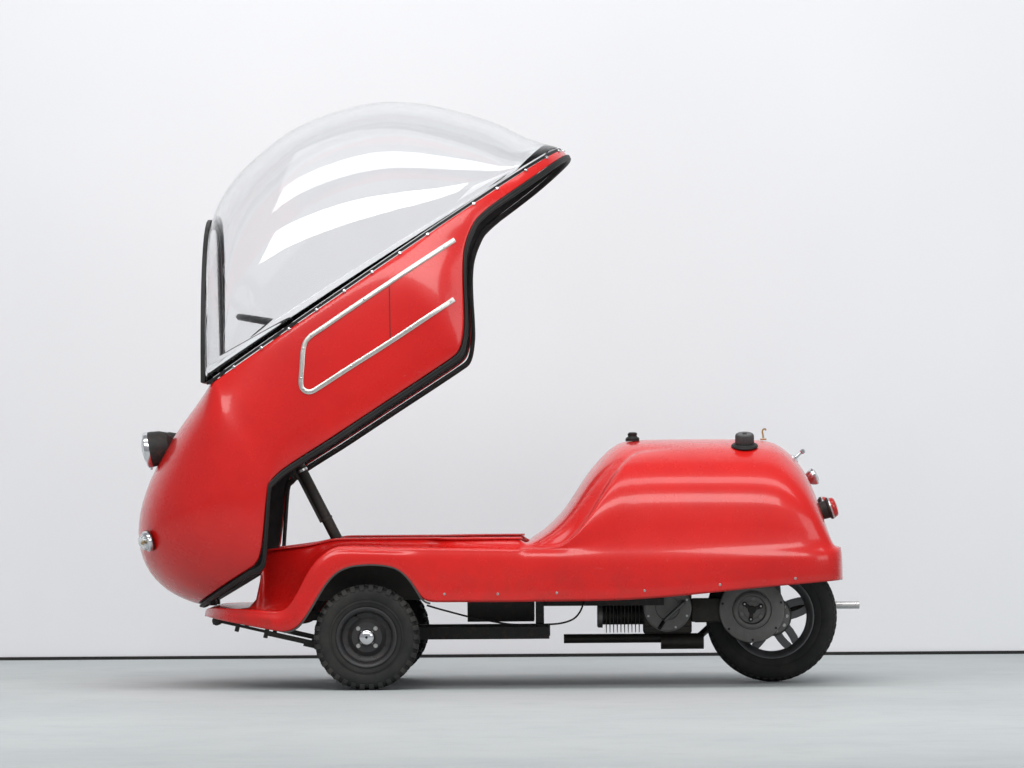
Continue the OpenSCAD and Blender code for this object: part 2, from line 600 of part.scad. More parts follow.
module floor_mat() {
    w = tub_w(F) - 50;
    x = tub_rear + 24 + cushion_len;
    color(black) translate([x, -w, floor_z + seat_gap]) cube([F + 234 - x, 2 * w, 5]);
}
cushion_len = 380;
cushion_h = 85;
module seat_cushion() {
    x = tub_rear + 22;
    w = tub_w(x) - 32;
    v = tub_w(F) - 32;
    color([0.15, 0.14, 0.14]) translate([0, 0, floor_z + seat_gap]) linear_extrude(cushion_h)
        polygon([[x, -w], [F - 320, -w], [F - 235, -v], [x + cushion_len, -v],
            [x + cushion_len, v], [F - 235, v], [F - 320, w], [x, w]]);
}
pedal_y = [-250, -170, -90];
module pedals() {
    color(steel) for (y = pedal_y) {
        translate([F + 255, y - 6, floor_z + 5]) rotate([0, 22, 0]) cube([8, 12, 106]);
        translate([F + 288, y - 28, floor_z + 96]) rotate([0, 22, 0]) cube([8, 56, 50]);
        translate([F + 240, y - 16, floor_z + seat_gap]) cube([36, 32, 8]);
    }
}

// ------------------------------------------------------------------- chassis

beam_y = 150;
beam_z = 150;
beam_h = 40;
beam_w = 40;
beam_rear = F - 580;
engine_z = 238;
engine_w = 190;
rail_z = 255;
rail_h = 24;
tub_under = floor_z - shell_t - seat_gap;
module chassis_frame() {
    color(steel) {
        mirror_y() {
            translate([beam_rear, beam_y - beam_w / 2, beam_z])
                cube([F + 40 - beam_rear, beam_w, beam_h]);
            for (x = [beam_rear + 20, F + 10]) translate([x, beam_y - 12, beam_z + beam_h])
                cube([24, 24, tub_under - beam_z - beam_h]);
            translate([F + 40, beam_y - 8, 214]) cube([462, 16, 20]);
            translate([F + 40, beam_y - 8, beam_z]) cube([12, 16, 66]);
            translate([engine_x + 92, engine_w / 2 + seat_gap, rail_z])
                cube([beam_rear + 44 - engine_x - 92, 20, rail_h]);
            translate([beam_rear + 20, engine_w / 2 + seat_gap, rail_z])
                cube([24, beam_y - engine_w / 2, rail_h]);
            for (y = [spring_y - 27, spring_y + 21]) translate([F + 484, y, 206])
                cube([24, 6, 32]);
        }
        for (x = [beam_rear + 20, F - 60]) translate([x, -beam_y, beam_z + 5])
            cube([30, 2 * beam_y, beam_h - 10]);
        translate([F + 484, -spring_y - 27, 233.5]) cube([24, 2 * spring_y + 54, 17]);
    }
}
// The body's half of the two nose hinges, with their pins
module nose_hinges() {
    foot_z = crease_at(hinge_x - 9) + seat_gap;
    color(steel) mirror_y() {
        for (y = [hinge_y + hinge_w / 6 + 1, hinge_y - hinge_w / 2]) {
            along_y(hinge_x, y, y + hinge_w / 3 - 1, hinge_z, hinge_d);
            translate([hinge_x - 9, y, foot_z]) cube([18, hinge_w / 3 - 1, hinge_z - foot_z]);
        }
        translate([hinge_x - 9, hinge_y - hinge_w / 2, foot_z]) cube([18, hinge_w, 2]);
        along_y(hinge_x, hinge_y - hinge_w / 2, hinge_y + hinge_w / 2, hinge_z, hinge_pin_d);
    }
}
tray_len = 218;
tray_w = 180;
tray_h = 76;
module battery_tray() {
    a = tray_w / 2;
    color(steel) translate([beam_rear + 50, 0, tub_under - tray_h]) rotate([90, 0, 90])
        difference() {
            linear_extrude(tray_len)
                polygon([[-a, tray_h], [a, tray_h], [a - 24, 0], [24 - a, 0]]);
            translate([0, 0, 4]) linear_extrude(tray_len - 8)
                polygon([[4 - a, tray_h + 1], [a - 4, tray_h + 1], [a - 29, 4], [29 - a, 4]]);
        }
}
kingpin_y = track_w / 2 - front_tyre_w / 2 - 35;
kingpin_d = 18;
axle_z = front_r;
module front_axle_beam() {
    color(steel) {
        along_y(F, -kingpin_y + 26, kingpin_y - 26, beam_z - 20 - seat_gap, 40);
        mirror_y() {
                for (z = [axle_z - 56, axle_z + 36]) translate([F, kingpin_y, z])
                    cylinder(h = 20, d = 38);
                translate([F - 14, kingpin_y - 46, axle_z - 56]) cube([28, 20, 112]);
                translate([F - 14, kingpin_y - 46, axle_z - 56]) cube([28, 46, 20]);
                translate([F - 14, kingpin_y - 46, axle_z + 36]) cube([28, 46, 20]);
        }
        mirror_y() translate([F, kingpin_y, axle_z - 50]) cylinder(h = 100, d = kingpin_d);
    }
}
spring_y = 245;
spring_front = [F + 496, 218];
spring_rear = [F - 20, 99.4];
module leaf_springs() {
    v = spring_rear - spring_front;
    len_s = norm(v);
    slope = atan2(-v[1], -v[0]);
    color(black) mirror_y() difference() {
        union() {
            translate([spring_front[0], spring_y - 20, spring_front[1]])
                rotate([0, 180 - slope, 0]) {
                    translate([0, 0, -4]) cube([len_s, 40, 8]);
                    translate([len_s * 0.3, 0, 4]) cube([len_s * 0.7 - 2, 40, 7]);
                    translate([len_s * 0.55, 0, 11]) cube([len_s * 0.45 - 2, 40, 7]);
                    for (s = [0.12, 0.3, 0.62, 0.8]) translate([len_s * s, -0.5, -8])
                        cube([12, 41, 28]);
                }
            along_y(spring_front[0], spring_y - 20, spring_y + 20, spring_front[1], 30);
        }
        along_y(spring_front[0], spring_y - 30, spring_y + 30, spring_front[1], 12);
    }
}

// One steering knuckle, drawn for the left wheel
knuckle_h = 68;
arm_len = 90;
module knuckle() {
    color(steel) difference() {
        union() {
            translate([F, kingpin_y, axle_z - knuckle_h / 2]) cylinder(h = knuckle_h, d = 36);
            along_y(F, kingpin_y + 8, track_w / 2 + 36, axle_z, axle_d);
            along_y(F, kingpin_y + 12, kingpin_y + 27, axle_z, 44);
            translate([F + 10, kingpin_y - 12, axle_z - 8]) cube([arm_len, 20, 14]);
        }
        translate([F, kingpin_y, axle_z - knuckle_h])
            cylinder(h = 2 * knuckle_h, d = kingpin_d + 2 * run_gap);
    }
}
module knuckle_left() knuckle();
module knuckle_right() mirror([0, 1, 0]) knuckle();

// Tie rod over the ends of the two steering arms
tie_rod_d = 14;
module tie_rod() {
    x = F + 10 + arm_len - 13;
    z = axle_z + 6.8;
    color(steel) {
        along_y(x, -kingpin_y + 2, kingpin_y - 2, z + 10, tie_rod_d);
        mirror_y() translate([x, kingpin_y - 2, z]) cylinder(h = 20, d = 26);
    }
}

// -------------------------------------------------------------------- wheels

module tyre(d, w, rim_d) {
    r = d / 2;
    b = rim_d / 2;
    s = w / 2;
    rotate([-90, 0, 0]) rotate_extrude($fn = 96) polygon([[b, -s * 0.72], [b + 8, -s * 0.86],
        [mix(b, r, 0.4), -s], [mix(b, r, 0.75), -s * 0.97], [r - 8, -s * 0.8], [r - 2, -s * 0.55],
        [r, -s * 0.25], [r, s * 0.25], [r - 2, s * 0.55], [r - 8, s * 0.8],
        [mix(b, r, 0.75), s * 0.97], [mix(b, r, 0.4), s], [b + 8, s * 0.86], [b, s * 0.72],
        [b - 3, s * 0.5], [b - 3, -s * 0.5]]);
}
front_rim_d = 182;
module front_rim(side) {
    b = front_rim_d / 2;
    s = front_tyre_w / 2;
    color([0.12, 0.12, 0.13]) translate([F, side * track_w / 2, axle_z]) rotate([-90 * side, 0, 0]) {
        rotate_extrude($fn = 96) polygon([[b - 4.3, -s * 0.5], [b - 4.3, s * 0.5],
            [b - 0.6, s * 0.72], [b + 6, s * 0.88], [b + 3, s * 0.94], [b - 6, s * 0.78],
            [b - 10, s * 0.5], [b - 10, 8], [58, 8], [46, 18], [26, 18], [26, 29],
            [axle_d / 2 + run_gap, 29], [axle_d / 2 + run_gap, -22], [25, -22], [25, 6], [44, 6],
            [56, -2], [b - 10, -2], [b - 10, -s * 0.5], [b - 6, -s * 0.78], [b + 3, -s * 0.94],
            [b + 6, -s * 0.88], [b - 0.6, -s * 0.72]]);
        rotate_extrude() polygon([[0, 40], [18, 40], [18, 29], [27, 29], [27, 36], [20, 45],
            [8, 49], [0, 49]]);
    }
}
module front_tyre(side) {
    color(black) translate([F, side * track_w / 2, axle_z])
        tyre(front_tyre_d, front_tyre_w, front_rim_d);
}
module front_tyre_left() front_tyre(1);
module front_tyre_right() front_tyre(-1);
module front_rim_left() front_rim(1);
module front_rim_right() front_rim(-1);

rear_rim_d = 266;
module rear_tyre() {
    color(black) translate([R, 0, rear_r]) tyre(rear_tyre_d, rear_tyre_w, rear_rim_d);
}
module rear_rim() {
    b = rear_rim_d / 2;
    s = rear_tyre_w / 2;
    color([0.3, 0.3, 0.31]) translate([R, 0, rear_r]) rotate([-90, 0, 0])
        rotate_extrude($fn = 96) polygon([[b - 0.6, -s * 0.72], [b + 6, -s * 0.88],
            [b + 3, -s * 0.94], [b - 7, -s * 0.78], [b - 12, -s * 0.5], [b - 18, -4], [60, -12],
            [40, -26], [axle_d / 2 + run_gap, -26], [axle_d / 2 + run_gap, 26], [40, 26], [60, 12],
            [b - 18, 4], [b - 12, s * 0.5], [b - 7, s * 0.78], [b + 3, s * 0.94],
            [b + 6, s * 0.88], [b - 0.6, s * 0.72], [b - 4.3, s * 0.5], [b - 4.3, -s * 0.5]]);
}

// --------------------------------------------------------------- rear drive

arm_y = rear_tyre_w / 2 + 13;
arm_t = 12;
arm_front_x = R + 252;
module swing_arm() {
    color(steel) {
        for (y = [-arm_y - arm_t / 2, arm_y - arm_t / 2]) difference() {
            union() {
                translate([R, y, rear_r - 18]) cube([arm_front_x - R, arm_t, 36]);
                translate([R, y, rear_r]) rotate([-90, 0, 0]) cylinder(h = arm_t, d = 52);
            }
            along_y(R, y - 1, y + arm_t + 1, rear_r, axle_d + 2 * run_gap);
        }
        translate([arm_front_x - 30, -arm_y - arm_t / 2, rear_r - 18])
            cube([30, 2 * arm_y + arm_t, 36]);
    }
}
module rear_axle() {
    color(steel) {
        along_y(R, -arm_y - 26, arm_y + 16, rear_r, axle_d);
        along_y(R, -arm_y - 22, -arm_y - arm_t / 2 - seat_gap, rear_r, 34);
    }
}
cover_d = 216;
cover_x = R + 66;
cover_y = arm_y + arm_t / 2 + 12;
module drive_cover() {
    color([0.55, 0.54, 0.53]) translate([cover_x, cover_y, engine_z]) rotate([-90, 0, 0])
        rotate_extrude($fn = 96) polygon([[0, 0], [cover_d / 2 - 4, 0], [cover_d / 2, 4],
            [cover_d / 2, 14], [cover_d / 2 - 6, 20], [64, 21], [60, 27], [46, 28], [44, 22],
            [30, 22], [28, 30], [0, 30]]);
}
engine_x = R + 262;
engine_len = 160;
module engine_block() {
    color([0.3, 0.29, 0.28]) {
        translate([engine_x, -engine_w / 2, 160]) cube([engine_len, engine_w, 240]);
        translate([cover_x + 40, arm_y + arm_t / 2 + seat_gap, engine_z - 40])
            cube([engine_x - cover_x - 39, 11, 80]);
    }
}
module engine_cylinder() {
    z = 222;
    color([0.25, 0.25, 0.25]) translate([engine_x + engine_len, 0, z]) rotate([0, 90, 0]) {
        cylinder(h = 132, d = 64);
        for (k = [0:9]) translate([0, 0, 10 + 12 * k]) cylinder(h = 4, d = 118);
        translate([0, 0, 132]) cylinder(h = 18, d = 84);
    }
}
module kick_lever() {
    a = [engine_x + 30, 128, 262];
    b = [engine_x + 92, 140, 205];
    color(steel) {
        along_y(a[0], engine_w / 2 + seat_gap, 138, a[2], 18);
        bar(a, b, 14);
        translate(b) sphere(d = 15);
        bar(b, [engine_x + 108, 172, 182], 13);
    }
}
exhaust_y = -130;
silencer_z = 160 - 26 - seat_gap;
module exhaust() {
    color(steel) {
        along_x(engine_x + 100, engine_x + 420, -20, 144, 30);
        along_x(engine_x - 40, engine_x + 101, -20, silencer_z, 52);
        bar([engine_x - 10, -40, silencer_z], [engine_x - 66, exhaust_y, 180], 23);
        translate([engine_x - 66, exhaust_y, 180]) sphere(d = 25);
        bar([engine_x - 66, exhaust_y, 180], [R - 120, exhaust_y, 246], 24);
        translate([R - 120, exhaust_y, 246]) sphere(d = 25);
        along_x(R - 295, R - 120, exhaust_y, 246, 24);
    }
}
module along_x(x0, x1, y, z, d) {
    translate([x0, y, z]) rotate([0, 90, 0]) cylinder(h = x1 - x0, d = d);
}

// Control cable under the floor, along its own route
cable_d = 6;
cable_route = [[232, 190, 262], [200, 186, 252], [150, 180, 238], [90, 176, 222], [20, 172, 208],
    [-40, 170, 198], [-100, 172, 197], [-150, 174, 197], [-200, 176, 200], [-240, 178, 212],
    [-262, 176, 232], [-274, 170, 256], [-284, 150, 282], [-300, 120, 300], [-330, 100, 310],
    [-380, 80, 312], [-470, 60, 310]];
module control_cable() {
    P = cable_route;
    rings = [for (i = [0:len(P) - 1]) let (
        t = unit(P[min(i + 1, len(P) - 1)] - P[max(i - 1, 0)]),
        e = unit(cross(t, [0, 1, 0])), n = cross(e, t))
        [for (k = [0:7]) P[i] + cable_d / 2 * (e * cos(-45 * k) + n * sin(-45 * k))]];
    color(black) tube(rings);
}

// -------------------------------------------------------------- hump fittings

// Height of the hump's skin at a place on it
function skin_z(x, y) = let (w = half_w - curve(hump_inset, x))
    waist_z + (curve(hump_line, x) - waist_z)
    * pow(max(0, 1 - pow(abs(y) / w, hump_round)), 1 / hump_round);
function skin_slope(x, y) = atan((skin_z(x, y + 2) - skin_z(x, y - 2)) / 4);
module on_hump(x, y) {
    translate([x, y, skin_z(x, y)]) rotate([skin_slope(x, y), 0, 0]) children();
}
module filler_cap() {
    color([0.2, 0.2, 0.2]) on_hump(R + 92, 300) translate([0, 0, seat_gap]) {
        cylinder(h = 12, d = 86);
        translate([0, 0, 12]) cylinder(h = 34, d = 60);
    }
}
module latch_hook() {
    color([0.6, 0.42, 0.2]) on_hump(R + 22, 0) translate([0, 0, seat_gap]) rotate([0, -6, 0]) {
        translate([-10, -18, 0]) cube([20, 36, 5]);
        translate([-4, -6, 4]) cube([8, 12, 34]);
    }
}
module rear_handle() {
    x = R - 78;
    tilt = atan((curve(hump_line, x + 4) - curve(hump_line, x - 4)) / 8);
    color(chrome) translate([x, 0, curve(hump_line, x)]) rotate([0, -tilt, 0])
        translate([0, 0, 0.8]) {
        cylinder(h = 8, d = 36);
        cylinder(h = 36, d = 14);
        along_y(0, -44, 44, 36, 16);
    }
}
function tail_x_at(z, x = R - 40, n = 0) = (n > 170 || curve(hump_line, x) < z) ? x
    : tail_x_at(z, x - 1, n + 1);
module reversing_lamp() {
    x = tail_x_at(662);
    color(chrome) translate([x + 0.6, 0, 662]) rotate([0, -66, 0]) lamp(58, 34);
}
lamp_y = 250;
lamp_z = 560;
// Place on the tail's skin at a given side distance and height, and its outward direction
function tail_at(y, z, lo = R - 214, hi = R - 40, n = 0) = let (m = (lo + hi) / 2)
    n > 16 ? m : skin_z(m, y) < z ? tail_at(y, z, m, hi, n + 1) : tail_at(y, z, lo, m, n + 1);
function tail_pt(y, z) = [tail_at(y, z), y, z];
function tail_dir(y, z) = unit(cross(tail_pt(y, z + 3) - tail_pt(y, z - 3),
    tail_pt(y + 3, z) - tail_pt(y - 3, z)));
module rear_lamps() {
    color([0.7, 0.05, 0.04]) mirror_y() translate(tail_pt(lamp_y, lamp_z) + tail_dir(lamp_y, lamp_z) * 1)
        face_along(tail_dir(lamp_y, lamp_z)) rotate_extrude() polygon([[0, 0], [28, 0], [30, 24],
            [36, 26], [36, 38], [28, 50], [0, 54]]);
}
module licence_plate() {
    color([0.92, 0.92, 0.9]) translate([R - 220, -160, 343]) cube([4, 320, 100]);
}
buffer_y = 130;
module rubber_buffers() {
    color(black) mirror_y() on_hump(R + 452, buffer_y) translate([0, 0, seat_gap]) {
        cylinder(h = 12, d = 44);
        cylinder(h = 28, d = 30);
    }
}

base_shell();
floor_mat();
seat_cushion();
pedals();
chassis_frame();
battery_tray();
front_axle_beam();
leaf_springs();
engine_block();
engine_cylinder();
kick_lever();
exhaust();
control_cable();
swing_arm();
drive_cover();
rear_axle();
filler_cap();
latch_hook();
rear_handle();
rear_lamps();
reversing_lamp();
licence_plate();
rubber_buffers();
canopy_shell();
canopy_lining();
canopy_seal();
canopy_hinges();
side_trim();
dome();
dome_gasket();
windscreen_glass();
windscreen_frame();
wiper();
headlamps();
front_lamps();
steering_column();
stay_bracket();
steering_wheel();
stay_tube();
stay_pivot();
nose_hinges();
tie_rod();
knuckle_left();
knuckle_right();
front_tyre_left();
front_rim_left();
front_tyre_right();
front_rim_right();
rear_tyre();
rear_rim();
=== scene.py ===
"""Looks for a three wheeled bubble car with a tilting canopy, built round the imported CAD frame."""

import json
import math
import random

import bmesh
import bpy
import numpy as np
from mathutils import Matrix, Vector

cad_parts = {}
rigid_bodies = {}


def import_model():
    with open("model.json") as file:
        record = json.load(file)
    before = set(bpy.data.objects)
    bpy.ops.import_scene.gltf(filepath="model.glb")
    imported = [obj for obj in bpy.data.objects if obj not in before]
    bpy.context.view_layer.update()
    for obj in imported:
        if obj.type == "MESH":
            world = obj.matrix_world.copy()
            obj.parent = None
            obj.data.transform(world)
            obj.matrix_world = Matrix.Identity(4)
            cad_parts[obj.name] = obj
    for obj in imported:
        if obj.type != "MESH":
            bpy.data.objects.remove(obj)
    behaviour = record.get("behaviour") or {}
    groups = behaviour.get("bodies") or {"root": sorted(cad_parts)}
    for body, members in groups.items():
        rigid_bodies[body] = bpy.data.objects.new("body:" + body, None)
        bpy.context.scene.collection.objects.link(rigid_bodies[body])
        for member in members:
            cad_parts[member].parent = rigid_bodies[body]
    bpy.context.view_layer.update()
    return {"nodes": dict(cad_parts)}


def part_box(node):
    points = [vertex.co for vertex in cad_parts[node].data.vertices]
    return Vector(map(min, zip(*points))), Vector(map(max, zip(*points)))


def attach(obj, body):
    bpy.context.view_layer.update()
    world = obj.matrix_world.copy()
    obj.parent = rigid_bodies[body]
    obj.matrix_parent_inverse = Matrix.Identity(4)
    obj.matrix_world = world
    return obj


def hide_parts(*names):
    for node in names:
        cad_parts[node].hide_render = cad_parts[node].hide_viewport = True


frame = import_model()
NODES = frame["nodes"]
random.seed(7)
MM = 0.001


# ------------------------------------------------------------------ materials

class Shader:
    """A node tree around one Principled shader, with short calls for the usual nodes."""

    def __init__(self, name):
        self.mat = bpy.data.materials.new(name)
        self.mat.use_nodes = True
        self.tree = self.mat.node_tree
        self.bsdf = self.tree.nodes["Principled BSDF"]
        self.coord = self.node("ShaderNodeTexCoord").outputs["Object"]

    def node(self, kind, **values):
        n = self.tree.nodes.new(kind)
        for key, value in values.items():
            if key in n.inputs:
                n.inputs[key].default_value = value
            else:
                setattr(n, key, value)
        return n

    def link(self, a, b):
        self.tree.links.new(a, b)
        return self

    def put(self, **values):
        for key, value in values.items():
            self.bsdf.inputs[key.replace("_", " ")].default_value = value
        return self

    def stretched(self, scale, turn=(0, 0, 0)):
        m = self.node("ShaderNodeMapping")
        m.inputs["Scale"].default_value = scale
        m.inputs["Rotation"].default_value = turn
        self.link(self.coord, m.inputs["Vector"])
        return m.outputs["Vector"]

    def noise(self, scale, detail=4.0, rough=0.55, at=None):
        n = self.node("ShaderNodeTexNoise", Scale=scale, Detail=detail, Roughness=rough)
        self.link(at or self.coord, n.inputs["Vector"])
        return n.outputs["Fac"]

    def voronoi(self, scale, feature="F1", at=None):
        n = self.node("ShaderNodeTexVoronoi", Scale=scale, feature=feature)
        self.link(at or self.coord, n.inputs["Vector"])
        return n.outputs["Distance"]

    def ramp(self, fac, *stops):
        n = self.node("ShaderNodeValToRGB")
        e = n.color_ramp.elements
        while len(e) < len(stops):
            e.new(0.5)
        for slot, (at, c) in zip(e, stops):
            slot.position = at
            slot.color = (c, c, c, 1) if isinstance(c, (int, float)) else (*c, 1)
        self.link(fac, n.inputs["Fac"])
        return n.outputs["Color"]

    def mix(self, fac, a, b, blend="MIX"):
        n = self.node("ShaderNodeMix", data_type="RGBA", blend_type=blend)
        for value, sock in ((fac, n.inputs[0]), (a, n.inputs[6]), (b, n.inputs[7])):
            if hasattr(value, "is_output"):
                self.link(value, sock)
            else:
                sock.default_value = value if isinstance(value, float) else (*value, 1)
        return n.outputs[2]

    def times(self, a, b):
        n = self.node("ShaderNodeMath", operation="MULTIPLY")
        for value, sock in ((a, n.inputs[0]), (b, n.inputs[1])):
            if hasattr(value, "is_output"):
                self.link(value, sock)
            else:
                sock.default_value = value
        return n.outputs[0]

    def color(self, sock):
        return self.link(sock, self.bsdf.inputs["Base Color"])

    def rough(self, fac, lo, hi):
        n = self.node("ShaderNodeMapRange")
        n.inputs["To Min"].default_value = lo
        n.inputs["To Max"].default_value = hi
        self.link(fac, n.inputs["Value"])
        return self.link(n.outputs["Result"], self.bsdf.inputs["Roughness"])

    def bump(self, *layers):
        """Each layer is (height, strength, distance in metres); they stack."""
        last = None
        for height, strength, distance in layers:
            n = self.node("ShaderNodeBump", Strength=strength, Distance=distance)
            self.link(height, n.inputs["Height"])
            if last is not None:
                self.link(last, n.inputs["Normal"])
            last = n.outputs["Normal"]
        return self.link(last, self.bsdf.inputs["Normal"])

    def edge_wear(self, low, high):
        g = self.node("ShaderNodeNewGeometry")
        return self.ramp(g.outputs["Pointiness"], (low, 0.0), (high, 1.0))

    def height_dirt(self, low, high):
        """1 near the ground, 0 above high, in metres over the floor."""
        s = self.node("ShaderNodeSeparateXYZ")
        self.link(self.coord, s.inputs[0])
        n = self.node("ShaderNodeMapRange")
        for key, value in (("From Min", low), ("From Max", high), ("To Min", 1.0), ("To Max", 0.0)):
            n.inputs[key].default_value = value
        self.link(s.outputs["Z"], n.inputs["Value"])
        return n.outputs["Result"]


def paint(name, light, dark, rough=(0.2, 0.34), dirt=0.5):
    s = Shader(name)
    fade = s.ramp(s.noise(2.2, 5), (0.3, 0.0), (0.72, 1.0))
    fine = s.ramp(s.noise(34, 6, 0.7), (0.35, 0.0), (0.8, 1.0))
    base = s.mix(fade, dark, light)
    base = s.mix(s.times(fine, 0.16), base, tuple(c * 0.72 for c in dark))
    marks = s.ramp(s.noise(9, 3, at=s.stretched((1, 1, 7), (0.3, 0.2, 0.5))), (0.66, 0.0), (0.71, 1.0))
    thin = s.ramp(s.voronoi(16, "DISTANCE_TO_EDGE", s.stretched((0.5, 1, 2.6), (0.2, 0.5, 0.2))),
                  (0.0, 1.0), (0.006, 0.0))
    scratch = s.times(thin, marks)
    base = s.mix(s.times(scratch, 0.5), base, (0.62, 0.36, 0.32))
    low = s.times(s.height_dirt(0.18, 0.46), s.ramp(s.noise(12, 6, 0.7), (0.42, 0.0), (0.75, 1.0)))
    base = s.mix(s.times(low, dirt), base, (0.10, 0.035, 0.025))
    chips = s.ramp(s.noise(60, 2), (0.79, 0.0), (0.81, 1.0))
    base = s.mix(s.times(chips, 0.5), base, (0.25, 0.10, 0.08))
    s.color(base)
    s.rough(s.noise(7, 6, 0.7), *rough)
    s.put(Coat_Weight=0.42, Coat_Roughness=0.08, Specular_IOR_Level=0.32)
    s.bump((s.noise(5.5, 2), 0.10, 0.004), (s.noise(260, 2), 0.02, 0.001), (scratch, 0.1, 0.0004))
    return s.mat


def rubber(name, tone=0.018, rough=(0.5, 0.72), dust=0.35, warm=(0.11, 0.10, 0.085), grain=420):
    s = Shader(name)
    base = s.mix(s.noise(18, 5), (tone * 0.6,) * 3, (tone * 1.7,) * 3)
    grey = s.ramp(s.noise(6.5, 7, 0.7), (0.45, 0.0), (0.78, 1.0))
    base = s.mix(s.times(grey, dust), base, warm)
    s.color(base)
    s.rough(s.noise(30, 5), *rough)
    s.put(Specular_IOR_Level=0.35)
    s.bump((s.noise(grain, 3), 0.28, 0.0005), (s.noise(28, 4), 0.2, 0.0012))
    return s.mat


def metal(name, light, dark, rough, rust=0.0, grain=0.12, metallic=1.0, scale=30):
    s = Shader(name)
    base = s.mix(s.noise(scale, 6, 0.65), dark, light)
    spots = s.ramp(s.noise(scale * 1.7, 7, 0.75), (0.52, 0.0), (0.70, 1.0))
    base = s.mix(s.times(spots, rust), base, (0.13, 0.055, 0.025))
    wear = s.edge_wear(0.52, 0.62)
    base = s.mix(s.times(wear, 0.35), base, tuple(min(1, c * 1.5 + 0.03) for c in light))
    s.color(base)
    s.rough(s.noise(scale * 2.1, 6, 0.7), *rough)
    s.put(Metallic=metallic)
    s.bump((s.noise(scale * 9, 4), grain, 0.0006), (s.noise(scale, 3), grain, 0.0015))
    return s.mat


def clear(name, tint, rough, ior=1.49, weight=1.0, haze=0.4):
    s = Shader(name)
    smear = s.ramp(s.noise(3.2, 5, 0.7), (0.45, 0.0), (0.85, 1.0))
    s.color(s.mix(s.times(smear, haze), tint, tuple(c * 0.93 for c in tint)))
    s.rough(s.noise(5, 6, 0.75), *rough)
    s.put(Transmission_Weight=weight, IOR=ior)
    hair = s.ramp(s.voronoi(30, "DISTANCE_TO_EDGE", s.stretched((1, 0.6, 0.35))), (0.0, 1.0), (0.01, 0.0))
    s.bump((hair, 0.03, 0.0003), (s.noise(6, 2), 0.05, 0.003))
    return s.mat


def vinyl(name, tone, warm):
    s = Shader(name)
    pores = s.voronoi(620)
    base = s.mix(s.noise(8, 6), tone, warm)
    base = s.mix(s.times(s.ramp(pores, (0.0, 1.0), (0.4, 0.0)), 0.25), base, tuple(c * 0.4 for c in tone))
    s.color(base)
    s.rough(s.noise(26, 5), 0.38, 0.58)
    s.put(Sheen_Weight=0.08)
    s.bump((pores, 0.3, 0.0005), (s.noise(40, 4), 0.12, 0.0015))
    return s.mat


RED = paint("car_red", (0.74, 0.014, 0.010), (0.58, 0.009, 0.008))
# Darker copy of the body red for the cockpit tub: its darker colours are painted shade of the recess; the heavier dirt
# near the floor is dirt
RED_IN_SHADED = paint("car_red_inside_shaded", (0.50, 0.016, 0.012), (0.33, 0.010, 0.009), (0.42, 0.62), 0.8)
FIBRE = metal("raw_glassfibre", (0.060, 0.052, 0.046), (0.022, 0.020, 0.019), (0.62, 0.85), 0.12, 0.6,
              0.0, 22)
SEAL = rubber("seal_rubber", 0.012, (0.42, 0.66), 0.22, (0.075, 0.066, 0.055))
TYRE = rubber("tyre_rubber", 0.014, (0.62, 0.86), 0.55, (0.062, 0.056, 0.048), 300)
TREAD = rubber("tread_rubber", 0.016, (0.66, 0.9), 0.75, (0.085, 0.078, 0.068), 260)
FELT = rubber("lining_felt", 0.014, (0.85, 0.98), 0.4, (0.05, 0.046, 0.042), 900)
CHROME = metal("chrome", (0.80, 0.80, 0.82), (0.52, 0.52, 0.54), (0.07, 0.24), 0.10, 0.05)
DULL_CHROME = metal("dull_chrome", (0.62, 0.61, 0.60), (0.34, 0.33, 0.32), (0.18, 0.42), 0.16, 0.08)
TRIM = metal("trim_alloy", (0.82, 0.80, 0.76), (0.55, 0.52, 0.47), (0.22, 0.45), 0.12, 0.10)
BLACK_STEEL = metal("chassis_black", (0.030, 0.029, 0.028), (0.010, 0.010, 0.010), (0.45, 0.75), 0.55,
                    0.35, 0.2)
OILY = metal("oily_iron", (0.052, 0.048, 0.043), (0.014, 0.013, 0.012), (0.35, 0.7), 0.4, 0.5, 0.55)
ALLOY = metal("cast_alloy", (0.23, 0.225, 0.215), (0.12, 0.117, 0.11), (0.38, 0.62), 0.12, 0.45, 0.75)
RIM_BLACK = metal("wheel_black", (0.034, 0.034, 0.036), (0.014, 0.014, 0.015), (0.32, 0.55), 0.25,
                  0.2, 0.1)
RIM_GREY = metal("wheel_grey", (0.135, 0.138, 0.142), (0.065, 0.066, 0.068), (0.35, 0.6), 0.2, 0.2, 0.5)
BRASS = metal("brass", (0.55, 0.36, 0.14), (0.30, 0.18, 0.07), (0.25, 0.5), 0.2, 0.15)
ACRYLIC = clear("clear_acrylic", (0.975, 0.982, 0.985), (0.0, 0.05))
LENS = clear("lamp_glass", (0.93, 0.95, 0.95), (0.02, 0.12), 1.5)
RED_LENS = clear("red_lens", (0.80, 0.03, 0.03), (0.05, 0.2), 1.5, 0.55)
VINYL = vinyl("black_vinyl", (0.020, 0.019, 0.020), (0.034, 0.030, 0.029))
PLATE = metal("plate_white", (0.83, 0.83, 0.80), (0.70, 0.70, 0.67), (0.3, 0.5), 0.06, 0.1, 0.0)
WHEEL_GREY = rubber("wheel_plastic", 0.05, (0.3, 0.5), 0.15, (0.14, 0.135, 0.13))


# ------------------------------------------------------------- mesh utilities

